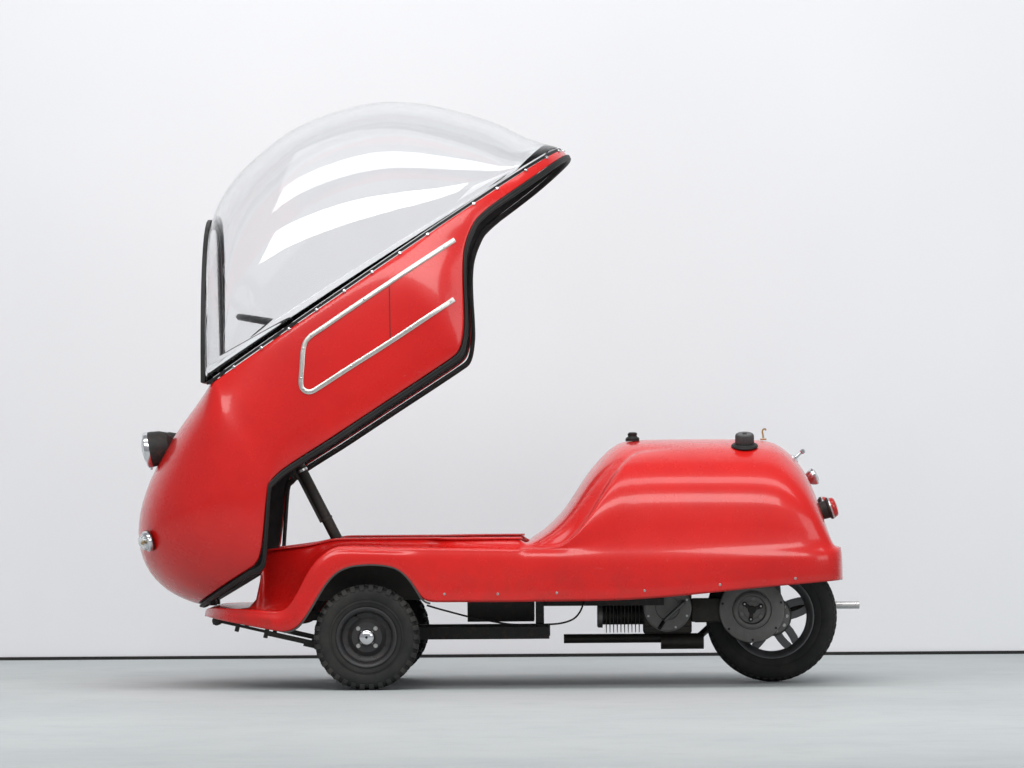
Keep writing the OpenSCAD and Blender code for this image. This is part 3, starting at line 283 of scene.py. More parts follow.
def to_mesh(name, verts, faces, material, smooth=True, angle=None, scale=MM):
    me = bpy.data.meshes.new(name)
    me.from_pydata([Vector(v) * scale for v in verts], [], faces)
    me.validate()
    me.materials.append(material)
    ob = bpy.data.objects.new(name, me)
    bpy.context.scene.collection.objects.link(ob)
    bm = bmesh.new()
    bm.from_mesh(me)
    bmesh.ops.recalc_face_normals(bm, faces=bm.faces)
    for f in bm.faces:
        f.smooth = smooth
    if angle is not None:
        for e in bm.edges:
            if len(e.link_faces) == 2 and e.calc_face_angle(0) > math.radians(angle):
                e.smooth = False
    bm.to_mesh(me)
    bm.free()
    return ob


def join(name, parts):
    """One object from several, keeping each one's own material slots."""
    for o in bpy.context.view_layer.objects.selected:
        o.select_set(False)
    for o in parts:
        o.select_set(True)
    bpy.context.view_layer.objects.active = parts[0]
    if len(parts) > 1:
        bpy.ops.object.join()
    parts[0].name = name
    parts[0].data.name = name
    return parts[0]


def bevel(ob, width, segments=2, angle=35):
    m = ob.modifiers.new("bevel", "BEVEL")
    m.width = width * MM
    m.segments = segments
    m.limit_method = "ANGLE"
    m.angle_limit = math.radians(angle)
    m.harden_normals = False
    return ob


def subdivide(ob, levels=1):
    m = ob.modifiers.new("round", "SUBSURF")
    m.levels = m.render_levels = levels
    return ob


def bake(ob):
    """Applies the modifiers, so that the mesh itself has the shape."""
    dg = bpy.context.evaluated_depsgraph_get()
    me = bpy.data.meshes.new_from_object(ob.evaluated_get(dg))
    old = ob.data
    ob.modifiers.clear()
    ob.data = me
    bpy.data.meshes.remove(old)
    return ob


def axes(direction, up=(0, 0, 1)):
    """Matrix whose Z lies along direction."""
    z = Vector(direction).normalized()
    u = Vector(up) if abs(z.dot(Vector(up).normalized())) < 0.99 else Vector((1, 0, 0))
    x = u.cross(z).normalized()
    return Matrix((x, z.cross(x), z)).transposed()


def lathe(name, profile, material, at=(0, 0, 0), direction=(0, 0, 1), steps=64, angle=28, closed=True):
    """Profile of (radius, height) pairs in mm turned about direction through at."""
    m, o = axes(direction), Vector(at)
    verts, faces, n = [], [], len(profile)
    for i in range(steps):
        a = 2 * math.pi * i / steps
        for r, h in profile:
            verts.append(o + m @ Vector((r * math.cos(a), r * math.sin(a), h)))
    for i in range(steps):
        k = (i + 1) % steps
        for j in range(n if closed else n - 1):
            q = (j + 1) % n
            if profile[j][0] < 1e-6 and profile[q][0] < 1e-6:
                continue
            faces.append((i * n + j, k * n + j, k * n + q, i * n + q))
    ob = to_mesh(name, verts, faces, material, True, None)
    bm = bmesh.new()
    bm.from_mesh(ob.data)
    bmesh.ops.remove_doubles(bm, verts=bm.verts, dist=1e-6)
    bmesh.ops.dissolve_degenerate(bm, edges=bm.edges, dist=1e-7)
    bmesh.ops.recalc_face_normals(bm, faces=bm.faces)
    for e in bm.edges:
        if len(e.link_faces) == 2 and e.calc_face_angle(0) > math.radians(angle):
            e.smooth = False
    bm.to_mesh(ob.data)
    bm.free()
    return ob


def block(name, lo, hi, material, round_mm=2.0, turn=None, segments=2):
    """A box with rounded edges; turn is (matrix, centre) in mm."""
    (x0, y0, z0), (x1, y1, z1) = lo, hi
    v = [Vector(p) for p in ((x0, y0, z0), (x1, y0, z0), (x1, y1, z0), (x0, y1, z0),
                             (x0, y0, z1), (x1, y0, z1), (x1, y1, z1), (x0, y1, z1))]
    if turn is not None:
        m, c = turn
        v = [Vector(c) + m @ (p - Vector(c)) for p in v]
    f = [(0, 3, 2, 1), (4, 5, 6, 7), (0, 1, 5, 4), (1, 2, 6, 5), (2, 3, 7, 6), (3, 0, 4, 7)]
    return bake(bevel(to_mesh(name, v, f, material), round_mm, segments))


def sweep(name, path, ring, material, loop=False, ups=None, angle=40, scales=None, fixed=None):
    """A ring of (side, up) pairs swept along a path of points in mm."""
    n, m = len(path), len(ring)
    verts, faces = [], []
    for i, p in enumerate(path):
        a, b = (path[i - 1], path[(i + 1) % n]) if loop else (path[max(i - 1, 0)], path[min(i + 1, n - 1)])
        t = (Vector(b) - Vector(a)).normalized()
        up = Vector(ups[i]) if ups else Vector(fixed or (0, 0, 1))
        side = t.cross(up)
        side = side.normalized() if side.length > 1e-6 else Vector((0, 1, 0))
        up = side.cross(t).normalized()
        k = scales[i] if scales else 1.0
        verts += [Vector(p) + side * (s * k) + up * (u * k) for s, u in ring]
    for i in range(n if loop else n - 1):
        for j in range(m):
            a, b = i * m + j, i * m + (j + 1) % m
            c, d = ((i + 1) % n) * m + (j + 1) % m, ((i + 1) % n) * m + j
            faces.append((a, b, c, d))
    if not loop:
        faces += [tuple(range(m))[::-1], tuple((n - 1) * m + j for j in range(m))]
    return to_mesh(name, verts, faces, material, True, angle)


def ring_of(d, steps=12, flat=1.0):
    return [(d / 2 * math.cos(2 * math.pi * k / steps), d / 2 * flat * math.sin(2 * math.pi * k / steps))
            for k in range(steps)]


def smooth_path(points, per=6, loop=False):
    """Catmull-Rom curve through the points."""
    p = [Vector(q) for q in points]
    n, out = len(p), []
    for i in range(n if loop else n - 1):
        a, b = p[i - 1] if (loop or i) else p[0], p[i]
        c, d = p[(i + 1) % n], p[(i + 2) % n] if (loop or i < n - 2) else p[n - 1]
        for k in range(per):
            t = k / per
            out.append(0.5 * ((2 * b) + (c - a) * t + (2 * a - 5 * b + 4 * c - d) * t * t
                              + (3 * b - a - 3 * c + d) * t ** 3))
    if not loop:
        out.append(p[-1])
    return out


def screw(name, at, direction, d, material, h=None):
    """A low round head."""
    h = h or d * 0.28
    return lathe(name, [(0, 0), (d / 2, 0), (d / 2, h * 0.3), (d * 0.42, h * 0.75), (d * 0.2, h), (0, h)],
                 material, at, direction, 16)


def bolt(name, at, direction, d, material, h=None):
    """Hexagon head on a washer."""
    h = h or d * 0.45
    m, o = axes(direction), Vector(at)
    v, f = [], []
    for r, z in ((0.5, 0.12), (0.5, 0.9), (0.43, 1.0)):
        v += [o + m @ Vector((d * r * math.cos(math.pi / 3 * k), d * r * math.sin(math.pi / 3 * k), h * z))
              for k in range(6)]
    for j in range(2):
        f += [(j * 6 + k, j * 6 + (k + 1) % 6, j * 6 + 6 + (k + 1) % 6, j * 6 + 6 + k) for k in range(6)]
    f += [tuple(range(6))[::-1], tuple(range(12, 18))]
    head = to_mesh(name, v, f, material, False)
    washer = lathe(name + "_w", [(0, 0), (d * 0.62, 0), (d * 0.62, h * 0.12), (0, h * 0.12)], material,
                   at, direction, 20)
    return join(name, [head, washer])


def finish_node(name, material, width=1.2, segments=2):
    """A CAD node kept as it is, with a material and, where it helps, rounded edges."""
    ob = NODES[name]
    ob.data.materials.clear()
    ob.data.materials.append(material)
    if width:
        weld = ob.modifiers.new("weld", "WELD")
        weld.merge_threshold = 1e-5
        bevel(ob, width, segments, 30)
    return ob


# ------------------------------------------------- the body's surfaces, in mm

BODY_W, WHEELBASE, F, TRACK = 1060.0, 1308.0, 415.0, 930.0
HALF = BODY_W / 2
R = F - WHEELBASE
FLOOR_Z, COAMING_Z, HUMP_Z, WAIST_Z = 285.0, 480.0, 796.0, 446.0
RIM_Z, DOME_H, OPEN, EDGE_GAP, SEAL_H = 860.0, 560.0, 34.0, 28.0, 19.0
SHELL_T, GLAZING_T, SEAT_GAP = 5.0, 4.0, 0.3
HINGE = Vector((F + 519, 0, 277))
FRONT_R, REAR_R = 169.0, 215.0


def mix(a, b, t):
    return a + (b - a) * t


def clamp01(t):
    return max(0.0, min(1.0, t))


def unit(v):
    v = np.asarray(v, float)
    return v / max(np.linalg.norm(v), 1e-9)


def shift(table, x):
    return [(p[0] + x, p[1]) for p in table]


def beside(t, d):
    out = []
    for i in range(len(t)):
        u = unit(np.subtract(t[min(i + 1, len(t) - 1)], t[max(i - 1, 0)]))
        out.append((t[i][0] - u[1] * d, t[i][1] + u[0] * d))
    return out


def curve(t, x):
    i = 0
    while i < len(t) - 2 and x > t[i + 1][0]:
        i += 1
    a, b, p, q = t[i], t[i + 1], t[max(i - 1, 0)], t[min(i + 2, len(t) - 1)]
    h = b[0] - a[0]
    u = clamp01((x - a[0]) / h)
    m = (b[1] - p[1]) / (b[0] - p[0]) * h
    n = (q[1] - a[1]) / (q[0] - a[0]) * h
    return (a[1] * (2 * u ** 3 - 3 * u * u + 1) + m * (u ** 3 - 2 * u * u + u)
            + b[1] * (3 * u * u - 2 * u ** 3) + n * (u ** 3 - u * u))


def sc(a, n):
    c = math.cos(math.radians(a))
    return math.copysign(abs(c) ** (2 / n), c) if abs(c) > 1e-12 else 0.0


def ss(a, n):
    s = math.sin(math.radians(a))
    return math.copysign(abs(s) ** (2 / n), s) if abs(s) > 1e-12 else 0.0


def normals(G, loop):
    n, m = G.shape[:2]
    out = np.zeros_like(G)
    for i in range(n):
        i0, i1 = ((i - 1) % n, (i + 1) % n) if loop else (max(i - 1, 0), min(i + 1, n - 1))
        for j in range(m):
            out[i, j] = unit(np.cross(G[i1, j] - G[i0, j], G[i, min(j + 1, m - 1)] - G[i, max(j - 1, 0)]))
    return out


def shell(name, G, thick, loop, outer, inner, levels=1, paint_by=None):
    """Closed wall between a grid of points and the same grid moved in by its thickness."""
    G = np.asarray(G, float)
    I = G - thick * normals(G, loop)
    n, m = G.shape[:2]
    verts = [Vector(p) for p in G.reshape(-1, 3)] + [Vector(p) for p in I.reshape(-1, 3)]
    k, last = n * m, n if loop else n - 1
    outs, ins, rims = [], [], []
    for i in range(last):
        a, b = i * m, ((i + 1) % n) * m
        for j in range(m - 1):
            outs.append((a + j, a + j + 1, b + j + 1, b + j))
            ins.append((k + a + j, k + b + j, k + b + j + 1, k + a + j + 1))
        rims += [(a, b, k + b, k + a), (a + m - 1, k + a + m - 1, k + b + m - 1, b + m - 1)]
    if not loop:
        e = (n - 1) * m
        for j in range(m - 1):
            rims += [(j, k + j, k + j + 1, j + 1), (e + j, e + j + 1, k + e + j + 1, k + e + j)]
    ob = to_mesh(name, verts, outs + ins + rims, outer)
    ob.data.materials.append(inner)
    for f in list(ob.data.polygons)[len(outs):len(outs) + len(ins)]:
        f.material_index = 1
    if levels:
        bake(subdivide(ob, levels))
    if paint_by:
        for slot_no, (mat, test) in enumerate(paint_by, 2):
            ob.data.materials.append(mat)
            for f in ob.data.polygons:
                if test(f.center / MM, f.material_index):
                    f.material_index = slot_no
    return ob


CREASE = (shift([(375, HUMP_Z - 6), (425, HUMP_Z - 27), (475, 732), (520, 674), (604, 539), (644, 490),
                 (685, 456), (735, 449)], R)
          + shift([(-270, 454), (-80, 457), (70, 462), (110, 455), (140, 434), (166, 410), (188, 378),
                   (210, 336), (235, 290), (262, 261), (292, 255), (370, 260), (540, 264)], F))
SKIRT = (shift([(-215, 340), (-83, 329), (110, 312), (304, 292), (493, 280), (685, 277)], R)
         + shift([(-215, 277), (-196, 279), (-178, 291), (-158, 322), (-140, 349), (-111, 379),
                  (-80, 394), (-30, 401), (15, 400), (52, 395), (90, 378), (118, 352), (140, 322),
                  (178, 258), (208, 214), (232, 195), (260, 188), (300, 193), (400, 210), (540, 232)], F))
HUMP = shift([(-215, WAIST_Z + 2), (-190, WAIST_Z + 5), (-173, 506), (-158, 557), (-136, 625),
              (-121, 660), (-103, 697), (-77, 731), (-47, 760), (-11, 784), (30, HUMP_Z - 3),
              (130, HUMP_Z), (330, HUMP_Z + 1), (430, HUMP_Z - 1), (478, HUMP_Z - 5), (508, HUMP_Z - 16),
              (550, HUMP_Z - 50), (605, 681), (646, 618), (688, 559), (754, 497), (798, 473)], R)
HUMP_IN = shift([(-215, 150), (-211, 110), (-203, 80), (-188, 58), (-165, 40), (-130, 30), (-60, 24),
                 (300, 20), (798, 16)], R)
TAIL_IN = shift([(-215, 110), (-211, 75), (-203, 50), (-188, 28), (-165, 14), (-130, 5), (-60, 0),
                 (300, 0)], R)
HUMP_ROUND, SEAT_W, SEAT_IN = 3, 30.0, 0.085
NOSE_X, NOSE_LEN, NOSE_ROUND, LIP_OUT = F + 150, 400.0, 2.5, 15.0
TUB_FRONT, TUB_REAR, LIP = F + 338, R + 808, 9.0
TUB = ([(TUB_REAR - 20, 100), (TUB_REAR + 60, 100), (F - 330, 100)]
       + shift([(-250, 140), (-190, 204), (200, 206), (290, 240), (345, 284)], F))
COAMING = shift([(-320, COAMING_Z), (60, COAMING_Z), (110, COAMING_Z - 2), (200, COAMING_Z - 20),
                 (345, COAMING_Z - 38)], F)


def crease_z(x):
    """Height of the side's crease, with the nose's top rolling down in front of the hinges."""
    return curve(CREASE, x) - 14 * min(max((x - F - 505) / 36, 0), 1) ** 2


def nose_w(x):
    return HALF - 8 if x < NOSE_X else \
        (HALF - 8) * max(0, 1 - ((x - NOSE_X) / NOSE_LEN) ** NOSE_ROUND) ** (1 / NOSE_ROUND)


def tub_w(x):
    return HALF - curve(TUB, x)


def hump_pt(x, a):
    w, top = HALF - curve(HUMP_IN, x), curve(HUMP, x)
    return np.array([w * sc(a, HUMP_ROUND), WAIST_Z + (top - WAIST_Z) * ss(a, HUMP_ROUND)])


def crease_angle(x):
    top = curve(HUMP, x)
    r = clamp01((crease_z(x) - WAIST_Z) / max(top - WAIST_Z, 1))
    return 58 if x < R + 420 else min(58, math.degrees(math.asin(r ** (HUMP_ROUND / 2))))


def lower_pts(x, w, z):
    low, b = curve(SKIRT, x), HALF - curve(TAIL_IN, x)
    out = w + 8 if x > NOSE_X else b
    return [(out - 1, mix(z, low, 0.12) - 2), (out, mix(z, low, 0.55)), (out, low)]


def rim_pts(w, z):
    return [(w - 9, z), (w - 5, z - 2), (w - 2, z - 5), (w - 0.5, z - 9), (w, z - 14)]


def section(x):
    z, c, w, t = crease_z(x), curve(COAMING, x), nose_w(x), tub_w(x)
    if x > TUB_FRONT + 12:
        w = max(w, 150)
        return ([((w - 18) * k / 8, z - 3 + 3 * math.cos(math.pi / 16 * k)) for k in range(9)]
                + rim_pts(w, z) + lower_pts(x, w, z - 14))
    edge = [(t + 35, min(z + 3, c - LIP)), (w - 24, z - 6)] + rim_pts(w, z) + lower_pts(x, w, z - 14)
    if x > TUB_FRONT - 7:
        return [(0, c), (t * 0.5, c), (t - 22, c), (t - 2, c), (t + 5, c), (t + 13, c), (t + 25, c)] + edge
    if x > TUB_REAR:
        return [(0, FLOOR_Z), (t * 0.5, FLOOR_Z), (t - 22, FLOOR_Z), (t - 2, FLOOR_Z + 20),
                (t + 5, c - LIP), (t + 13, c), (t + 25, c)] + edge
    a = crease_angle(x)
    fade = clamp01((x - R - 330) / 90)
    top = [hump_pt(x, mix(90, a + 5, k / 7)) * (1 - SEAT_IN * fade, 1) for k in range(8)]
    side = [hump_pt(x, mix(a, 0, k / 4)) for k in range(5)]
    groove = mix(hump_pt(x, a + 3), side[0] - (SEAT_W, 5), fade)
    return [tuple(p) for p in top + [groove] + side] + lower_pts(x, side[4][0], WAIST_Z)


def full(x, s):
    return [(x, p[0], p[1]) for p in s[:0:-1]] + [(x, -p[0], p[1]) for p in s]


def squash(s, x):
    low = curve(SKIRT, x)
    return [(p[0] * 0.998, low + (p[1] - low) * 0.12) for p in s]


STATIONS = ([NOSE_X + NOSE_LEN * sc(a, NOSE_ROUND) for a in (14, 20, 27, 35, 44, 53)]
            + [TUB_FRONT + d for d in (18, 10, -5, -12)]
            + [F + d for d in (322, 302, 285, 268, 252, 236, 220, 202, 184, 166, 148, 130, 110, 88, 60, 20,
                               -30, -75, -105, -130, -148, -162, -176, -190, -210, -240, -290)]
            + [mix(F - 290, R + 900, 0.35), mix(F - 290, R + 900, 0.7), R + 880, R + 832, TUB_REAR + 8]
            + [TUB_REAR - 9]
            + [R + d for d in (780, 754, 724, 700, 680, 658, 636, 614, 590, 566, 542, 518, 495, 470, 440,
                               405, 330, 220, 110, 30, -11, -45, -75, -103, -122, -138, -158, -174, -187,
                               -199, -208, -214)])
FIRST, LAST = STATIONS[0], STATIONS[-1]
BASE_GRID = ([full(FIRST + 1.5, squash(section(FIRST), FIRST))] + [full(x, section(x)) for x in STATIONS]
             + [full(LAST - 1.5, squash(section(LAST), LAST))])

# The canopy, laid out shut
RIM_FRONT, RIM_MID, RIM_LEN, RIM_HALF, RIM_ROUND = F + 120, F - 309, 945.0, HALF - 44, 2.6
TAIL_X = RIM_MID - RIM_LEN


def rim_w(x):
    if x > RIM_MID:
        return RIM_HALF * math.sqrt(1 - ((x - RIM_MID) / 1000) ** 2)
    return RIM_HALF * max(0, 1 - ((RIM_MID - x) / RIM_LEN) ** RIM_ROUND) ** (1 / RIM_ROUND)


RIM_CORNER = rim_w(RIM_FRONT)
EDGE = ([(TAIL_X - 10, RIM_Z - 30)] + shift([(190, RIM_Z - 40), (330, RIM_Z - 44), (395, RIM_Z - 48)], R)
        + beside(CREASE, EDGE_GAP)[1:])


def edge_y(x):
    u = clamp01((RIM_Z - curve(EDGE, x)) / (RIM_Z - WAIST_Z - EDGE_GAP))
    return nose_w(x) if x > NOSE_X else mix(rim_w(x) + 10, HALF - 10, u ** 3)


def nose_station(a):
    x, k = NOSE_X + NOSE_LEN * sc(a, NOSE_ROUND), (a / 90) ** 0.9
    return (np.array([x + LIP_OUT * math.cos(math.radians(a)) ** 2, nose_w(x), curve(EDGE, x)]),
            np.array([mix(RIM_FRONT + 14, RIM_FRONT - 30, (a / 90) ** 4),
                      (RIM_CORNER + 6) * min(1, 1.12 * k), RIM_Z - 8]))


def side_station(x):
    r = min(x, RIM_FRONT - 30)
    return np.array([x, edge_y(x), curve(EDGE, x)]), np.array([r, rim_w(r) + 8, RIM_Z - 8])


def tail_station(a):
    x, y = RIM_MID - RIM_LEN * sc(a, RIM_ROUND), RIM_HALF * ss(a, RIM_ROUND)
    c, s = math.cos(math.radians(a)), math.sin(math.radians(a))
    return (np.array([x - 10 * c, y + 10 * s, curve(EDGE, x - 10)]),
            np.array([x - 8 * c, y + 8 * s, RIM_Z - 8]))


SIDE_X = ([F + d for d in (140, 115, 70, 0, -100, -200, -320)]
          + [R + d for d in (850, 770, 735, 705, 680, 655, 630, 600, 565, 530, 500, 472, 445, 410, 350)])
NEAR = ([nose_station(a) for a in (0, 8, 16, 25, 34, 43, 52, 60, 67, 74, 82)]
        + [side_station(x) for x in SIDE_X] + [tail_station(a) for a in (50, 43, 36, 29, 22, 15, 8, 0)])
FLIP = np.array([1, -1, 1])
CANOPY_STATIONS = NEAR + [(s[0] * FLIP, s[1] * FLIP) for s in NEAR[-2:0:-1]]


def flat_dir(p):
    if p[0] > NOSE_X + 10:
        return unit([((p[0] - NOSE_X) / NOSE_LEN) ** (NOSE_ROUND - 1) / NOSE_LEN,
                     np.sign(p[1]) * (abs(p[1]) / HALF) ** (NOSE_ROUND - 1) / HALF, 0])
    return unit([p[0] - RIM_MID - 300, p[1], 0]) if p[0] < R + 350 else np.array([0, np.sign(p[1]), 0])


def canopy_pt(s, t):
    b, r = s
    h, flat = r[2] - b[2], math.hypot(b[0] - r[0], b[1] - r[1])
    w, d, tall = clamp01(flat / 400), flat_dir(b), clamp01(h / 400)
    p = np.array([b[0], b[1], b[2] + mix(0.34, 0.35, w) * h]) \
        + np.array([d[0], d[1] * 0.55, 0]) * (mix(10, 172, w) * tall)
    g = mix(1.0, 1.16, w)
    q = np.array([r[0] + (b[0] - r[0]) * g, r[1] + (b[1] - r[1]) * g, r[2] - mix(0.34, 0.22, w) * h]) \
        + np.array([0, np.sign(b[1]) * 6 * tall * (1 - w), 0])
    v = 1 - t
    return v ** 3 * b + 3 * v * v * t * p + 3 * v * t * t * q + t ** 3 * r


def side_pt(x, z):
    s, lo, hi = side_station(x), 0.0, 1.0
    for _ in range(16):
        m = (lo + hi) / 2
        lo, hi = (m, hi) if canopy_pt(s, m)[2] < z else (lo, m)
    return canopy_pt(s, (lo + hi) / 2)


CANOPY_GRID = [[canopy_pt(s, k / 12) for k in range(13)] for s in CANOPY_STATIONS]
TURN = Matrix.Rotation(math.radians(OPEN), 3, "Y")
OPENED = (Matrix.Translation(HINGE * MM) @ TURN.to_4x4() @ Matrix.Translation(-HINGE * MM))


def opened(ob):
    ob.data.transform(OPENED)
    return ob


def mirrored(ob, name):
    """A copy on the other side of the car."""
    c = ob.copy()
    c.data = ob.data.copy()
    bpy.context.scene.collection.objects.link(c)
    c.name = c.data.name = name
    c.data.transform(Matrix.Scale(-1, 4, (0, 1, 0)))
    c.data.flip_normals()
    return c


# The dome
LEAN, SCREEN_LEN, DOME_BASE = math.radians(34), 538.0, RIM_Z + 4
APEX = (RIM_FRONT - SCREEN_LEN * math.sin(LEAN), DOME_BASE + SCREEN_LEN * math.cos(LEAN))
DOME_TOP = [(0, 0, 0), (0.08, -70, 46), (0.17, -160, 78), (0.28, -285, 97), (0.38, -400, 98),
            (0.5, -545, 66), (0.6, -670, 14), (0.7, -775, -62), (0.79, -870, -160), (0.87, -950, -262),
            (0.94, -1010, -365), (1, -1070, -440)]
DOME_X, DOME_Z = [(p[0], p[1]) for p in DOME_TOP], [(p[0], p[2]) for p in DOME_TOP]
DOME_ROUND = 2.5


def dome_pt(u, v):
    foot = mix(RIM_FRONT, TAIL_X + 200, u ** 1.3)
    w, tx, tz = rim_w(foot) - 6, APEX[0] + curve(DOME_X, u), APEX[1] + curve(DOME_Z, u) * DOME_H / 560
    rise = abs(math.sin(math.pi * v)) ** (2 / mix(DOME_ROUND, 2.1, u))
    return (mix(foot, tx, rise), w * sc(180 * v, mix(DOME_ROUND, 2.2, u)), mix(DOME_BASE, tz, rise))


def skin_z(x, y):
    w = HALF - curve(HUMP_IN, x)
    return WAIST_Z + (curve(HUMP, x) - WAIST_Z) * max(0, 1 - (abs(y) / w) ** HUMP_ROUND) ** (1 / HUMP_ROUND)


def ride(ob, body, *replaced):
    """Carries a piece on its body, and hides the CAD nodes it stands in for."""
    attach(ob, body)
    if replaced:
        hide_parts(*replaced)
    return ob


def ride_base(ob, *replaced):
    return ride(ob, "base", *replaced)


# --------------------------------------------------------------- body pieces

def in_tub(c, slot_no):
    return slot_no == 0 and TUB_REAR - 4 < c.x < TUB_FRONT and abs(c.y) < tub_w(c.x) + 8 and c.z < COAMING_Z - 4


# The tub's faces get the darker red, which paints the shade inside the tub
base_body = shell("base_body", BASE_GRID, SHELL_T, False, RED, FIBRE, 1, [(RED_IN_SHADED, in_tub)])
ride(base_body, "base", "base_shell")

canopy_body = opened(shell("canopy_body", CANOPY_GRID, SHELL_T, True, RED, FELT, 1))
ride(canopy_body, "canopy", "canopy_shell")


def edge_sweep(name, ring, up_off, out_off, material):
    """A strip along the canopy's lower edge; ring is (outward, up) in mm."""
    G = np.array(CANOPY_GRID)
    N = normals(G, True)
    n, verts, faces, m = len(G), [], [], len(ring)
    rows = []
    for i in range(n):
        up = unit(G[i, 1] - G[i, 0])
        c = G[i, 0] + N[i, 0] * (out_off - SHELL_T / 2) + up * up_off
        rows.append([c + N[i, 0] * s + up * u for s, u in ring])
    rows = np.array(rows)
    fine = [smooth_path([tuple(rows[i, j]) for i in range(n)], 3, True) for j in range(m)]
    for i in range(len(fine[0])):
        verts += [fine[j][i] for j in range(m)]
    k = len(fine[0])
    for i in range(k):
        for j in range(m):
            faces.append((i * m + j, i * m + (j + 1) % m, ((i + 1) % k) * m + (j + 1) % m,
                          ((i + 1) % k) * m + j))
    return to_mesh(name, verts, faces, material, True, 50)


seal = opened(edge_sweep("canopy_seal_rubber", [
    (-7.5, 8.6), (-8, 5), (-7.6, -2), (-6.2, -7), (-3, -9.3), (0.5, -9.4), (4, -8.4), (6.6, -5.6), (7.4, -2),
    (6.2, 0.4), (7.8, 2.4), (7.8, 7.6), (6.6, 9.2), (3.4, 9.3), (3.2, 6), (-3.2, 6), (-3.4, 9.3)],
    -(SEAL_H / 2 + SEAT_GAP), 0, SEAL))
ride(seal, "canopy", "canopy_seal")
finish_node("canopy_lining", FELT, 0)
finish_node("canopy_hinges", BLACK_STEEL)
finish_node("nose_hinges", BLACK_STEEL)

# Dome, its gasket and the studs that hold it
US, VS = 44, 64
dome = opened(shell("dome_bubble", [[dome_pt(i / US, j / VS) for j in range(VS + 1)] for i in range(US + 1)],
                    GLAZING_T, False, ACRYLIC, ACRYLIC, 0))
ride(dome, "canopy", "dome")


def rim_loop(d, steps=26):
    near = [(RIM_FRONT + d, RIM_CORNER + d)]
    near += [(x, rim_w(x) + d) for x in [mix(RIM_FRONT, RIM_MID - 500, k / steps) for k in range(1, steps + 1)]]
    for a in range(56, -1, -4):
        c, s = math.cos(math.radians(a)), math.sin(math.radians(a))
        near.append((RIM_MID - RIM_LEN * sc(a, RIM_ROUND) - d * c, RIM_HALF * ss(a, RIM_ROUND) + d * s))
    return near + [(p[0], -p[1]) for p in near[-2::-1]]


loop = rim_loop(-4)
gasket = opened(sweep("dome_gasket_strip", [(x, y, RIM_Z - 2.5) for x, y in loop], [
    (-7.8, -4.3), (7.8, -4.3), (7.8, 2.6), (6.4, 4.2), (2, 4.4), (0, 3.4), (-3, 4.4), (-6.6, 4.2), (-7.8, 2.6)],
    SEAL))
ride(gasket, "canopy", "dome_gasket")
studs, run, due = [], 0.0, 30.0
outer = rim_loop(4)
for a, b in zip(outer, outer[1:]):
    run += math.dist(a, b)
    if run > due and a[0] < RIM_FRONT - 40:
        n = unit([b[1] - a[1], a[0] - b[0], 0])
        n = n if n[:2] @ np.array([a[0] - RIM_MID + 250, a[1]]) > 0 else -n
        studs.append(screw("stud", (b[0] + n[0] * 3.4, b[1] + n[1] * 3.4, RIM_Z - 9), n + (0, 0, 0.35), 13,
                           CHROME, 4.5))
        due = run + 92
studs = opened(join("dome_studs", studs))
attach(studs, "canopy")

finish_node("windscreen_glass", ACRYLIC, 0)
finish_node("windscreen_frame", SEAL, 2.5, 3)

# Bright trim round the side panels, with its screws and the panel's joint
TRIM_PATH = [(F - 800, 788), (F - 670, 790), (F - 540, 791), (F - 400, 792), (F - 300, 792), (F - 238, 791),
             (F - 205, 772), (F - 165, 722), (F - 136, 684), (F - 132, 662), (F - 146, 645), (F - 180, 641),
             (F - 300, 638), (F - 440, 633), (F - 580, 631), (F - 690, 630)]


def on_side(path, lift):
    out, ups = [], []
    for x, z in path:
        p = side_pt(x, z)
        n = unit(np.cross(side_pt(x - 4, z) - p, side_pt(x, z + 4) - p))
        n = n if n[1] > 0 else -n
        out.append(tuple(p + n * lift))
        ups.append(tuple(n))
    return out, ups


fine_trim = [(p.x, p.y) for p in smooth_path([(x, z, 0) for x, z in TRIM_PATH], 5)]
path, ups = on_side(fine_trim, 0.5)
strip = sweep("trim", path, [(-7.5, 0), (-7.5, 1.6), (-6, 2.6), (-2.6, 2.8), (-2, 3.8), (2, 3.8), (2.6, 2.8),
                            (6, 2.6), (7.5, 1.6), (7.5, 0)], TRIM, ups=ups)
parts = [strip]
for k in (2, 13, 24, 30, 38, 44, 47, 52, 60, 68, 74):
    parts.append(screw("s", Vector(path[k]) + Vector(ups[k]) * 3.2, ups[k], 7.5, DULL_CHROME, 2.0))
joint, jups = on_side([(mix(-129, -39, k / 12), mix(781, 644, k / 12)) for k in range(13)], -0.2)
parts.append(sweep("joint", joint, [(-1.1, 0), (-1.1, 0.8), (1.1, 0.8), (1.1, 0)], SEAL, ups=jups))
left_trim = join("side_trim_left", parts)
right_trim = mirrored(left_trim, "side_trim_right")
for piece in (left_trim, right_trim):
    opened(piece)
    ride(piece, "canopy", "side_trim")

# ------------------------------------------------------------- canopy fittings

# Wiper: cap, arm and blade on the screen's plane
SCREEN = Matrix.Rotation(-LEAN, 3, "Y") @ Matrix(((0, 0, 1), (1, 0, 0), (0, 1, 0)))


def screen_pt(a, b, c):
    """a across, b up the screen, c out of it, in mm, in the shut frame."""
    return Vector((RIM_FRONT, 0, DOME_BASE)) + SCREEN @ Vector((a, b, c))


wy, wc = 150.0, 16.0
arm_dir = Vector((-math.sin(math.radians(28)), math.cos(math.radians(28)), 0))


def arm_pt(s, c, side=0.0):
    return screen_pt(wy + arm_dir.x * s + arm_dir.y * side, 8 + arm_dir.y * s - arm_dir.x * side, wc + c)


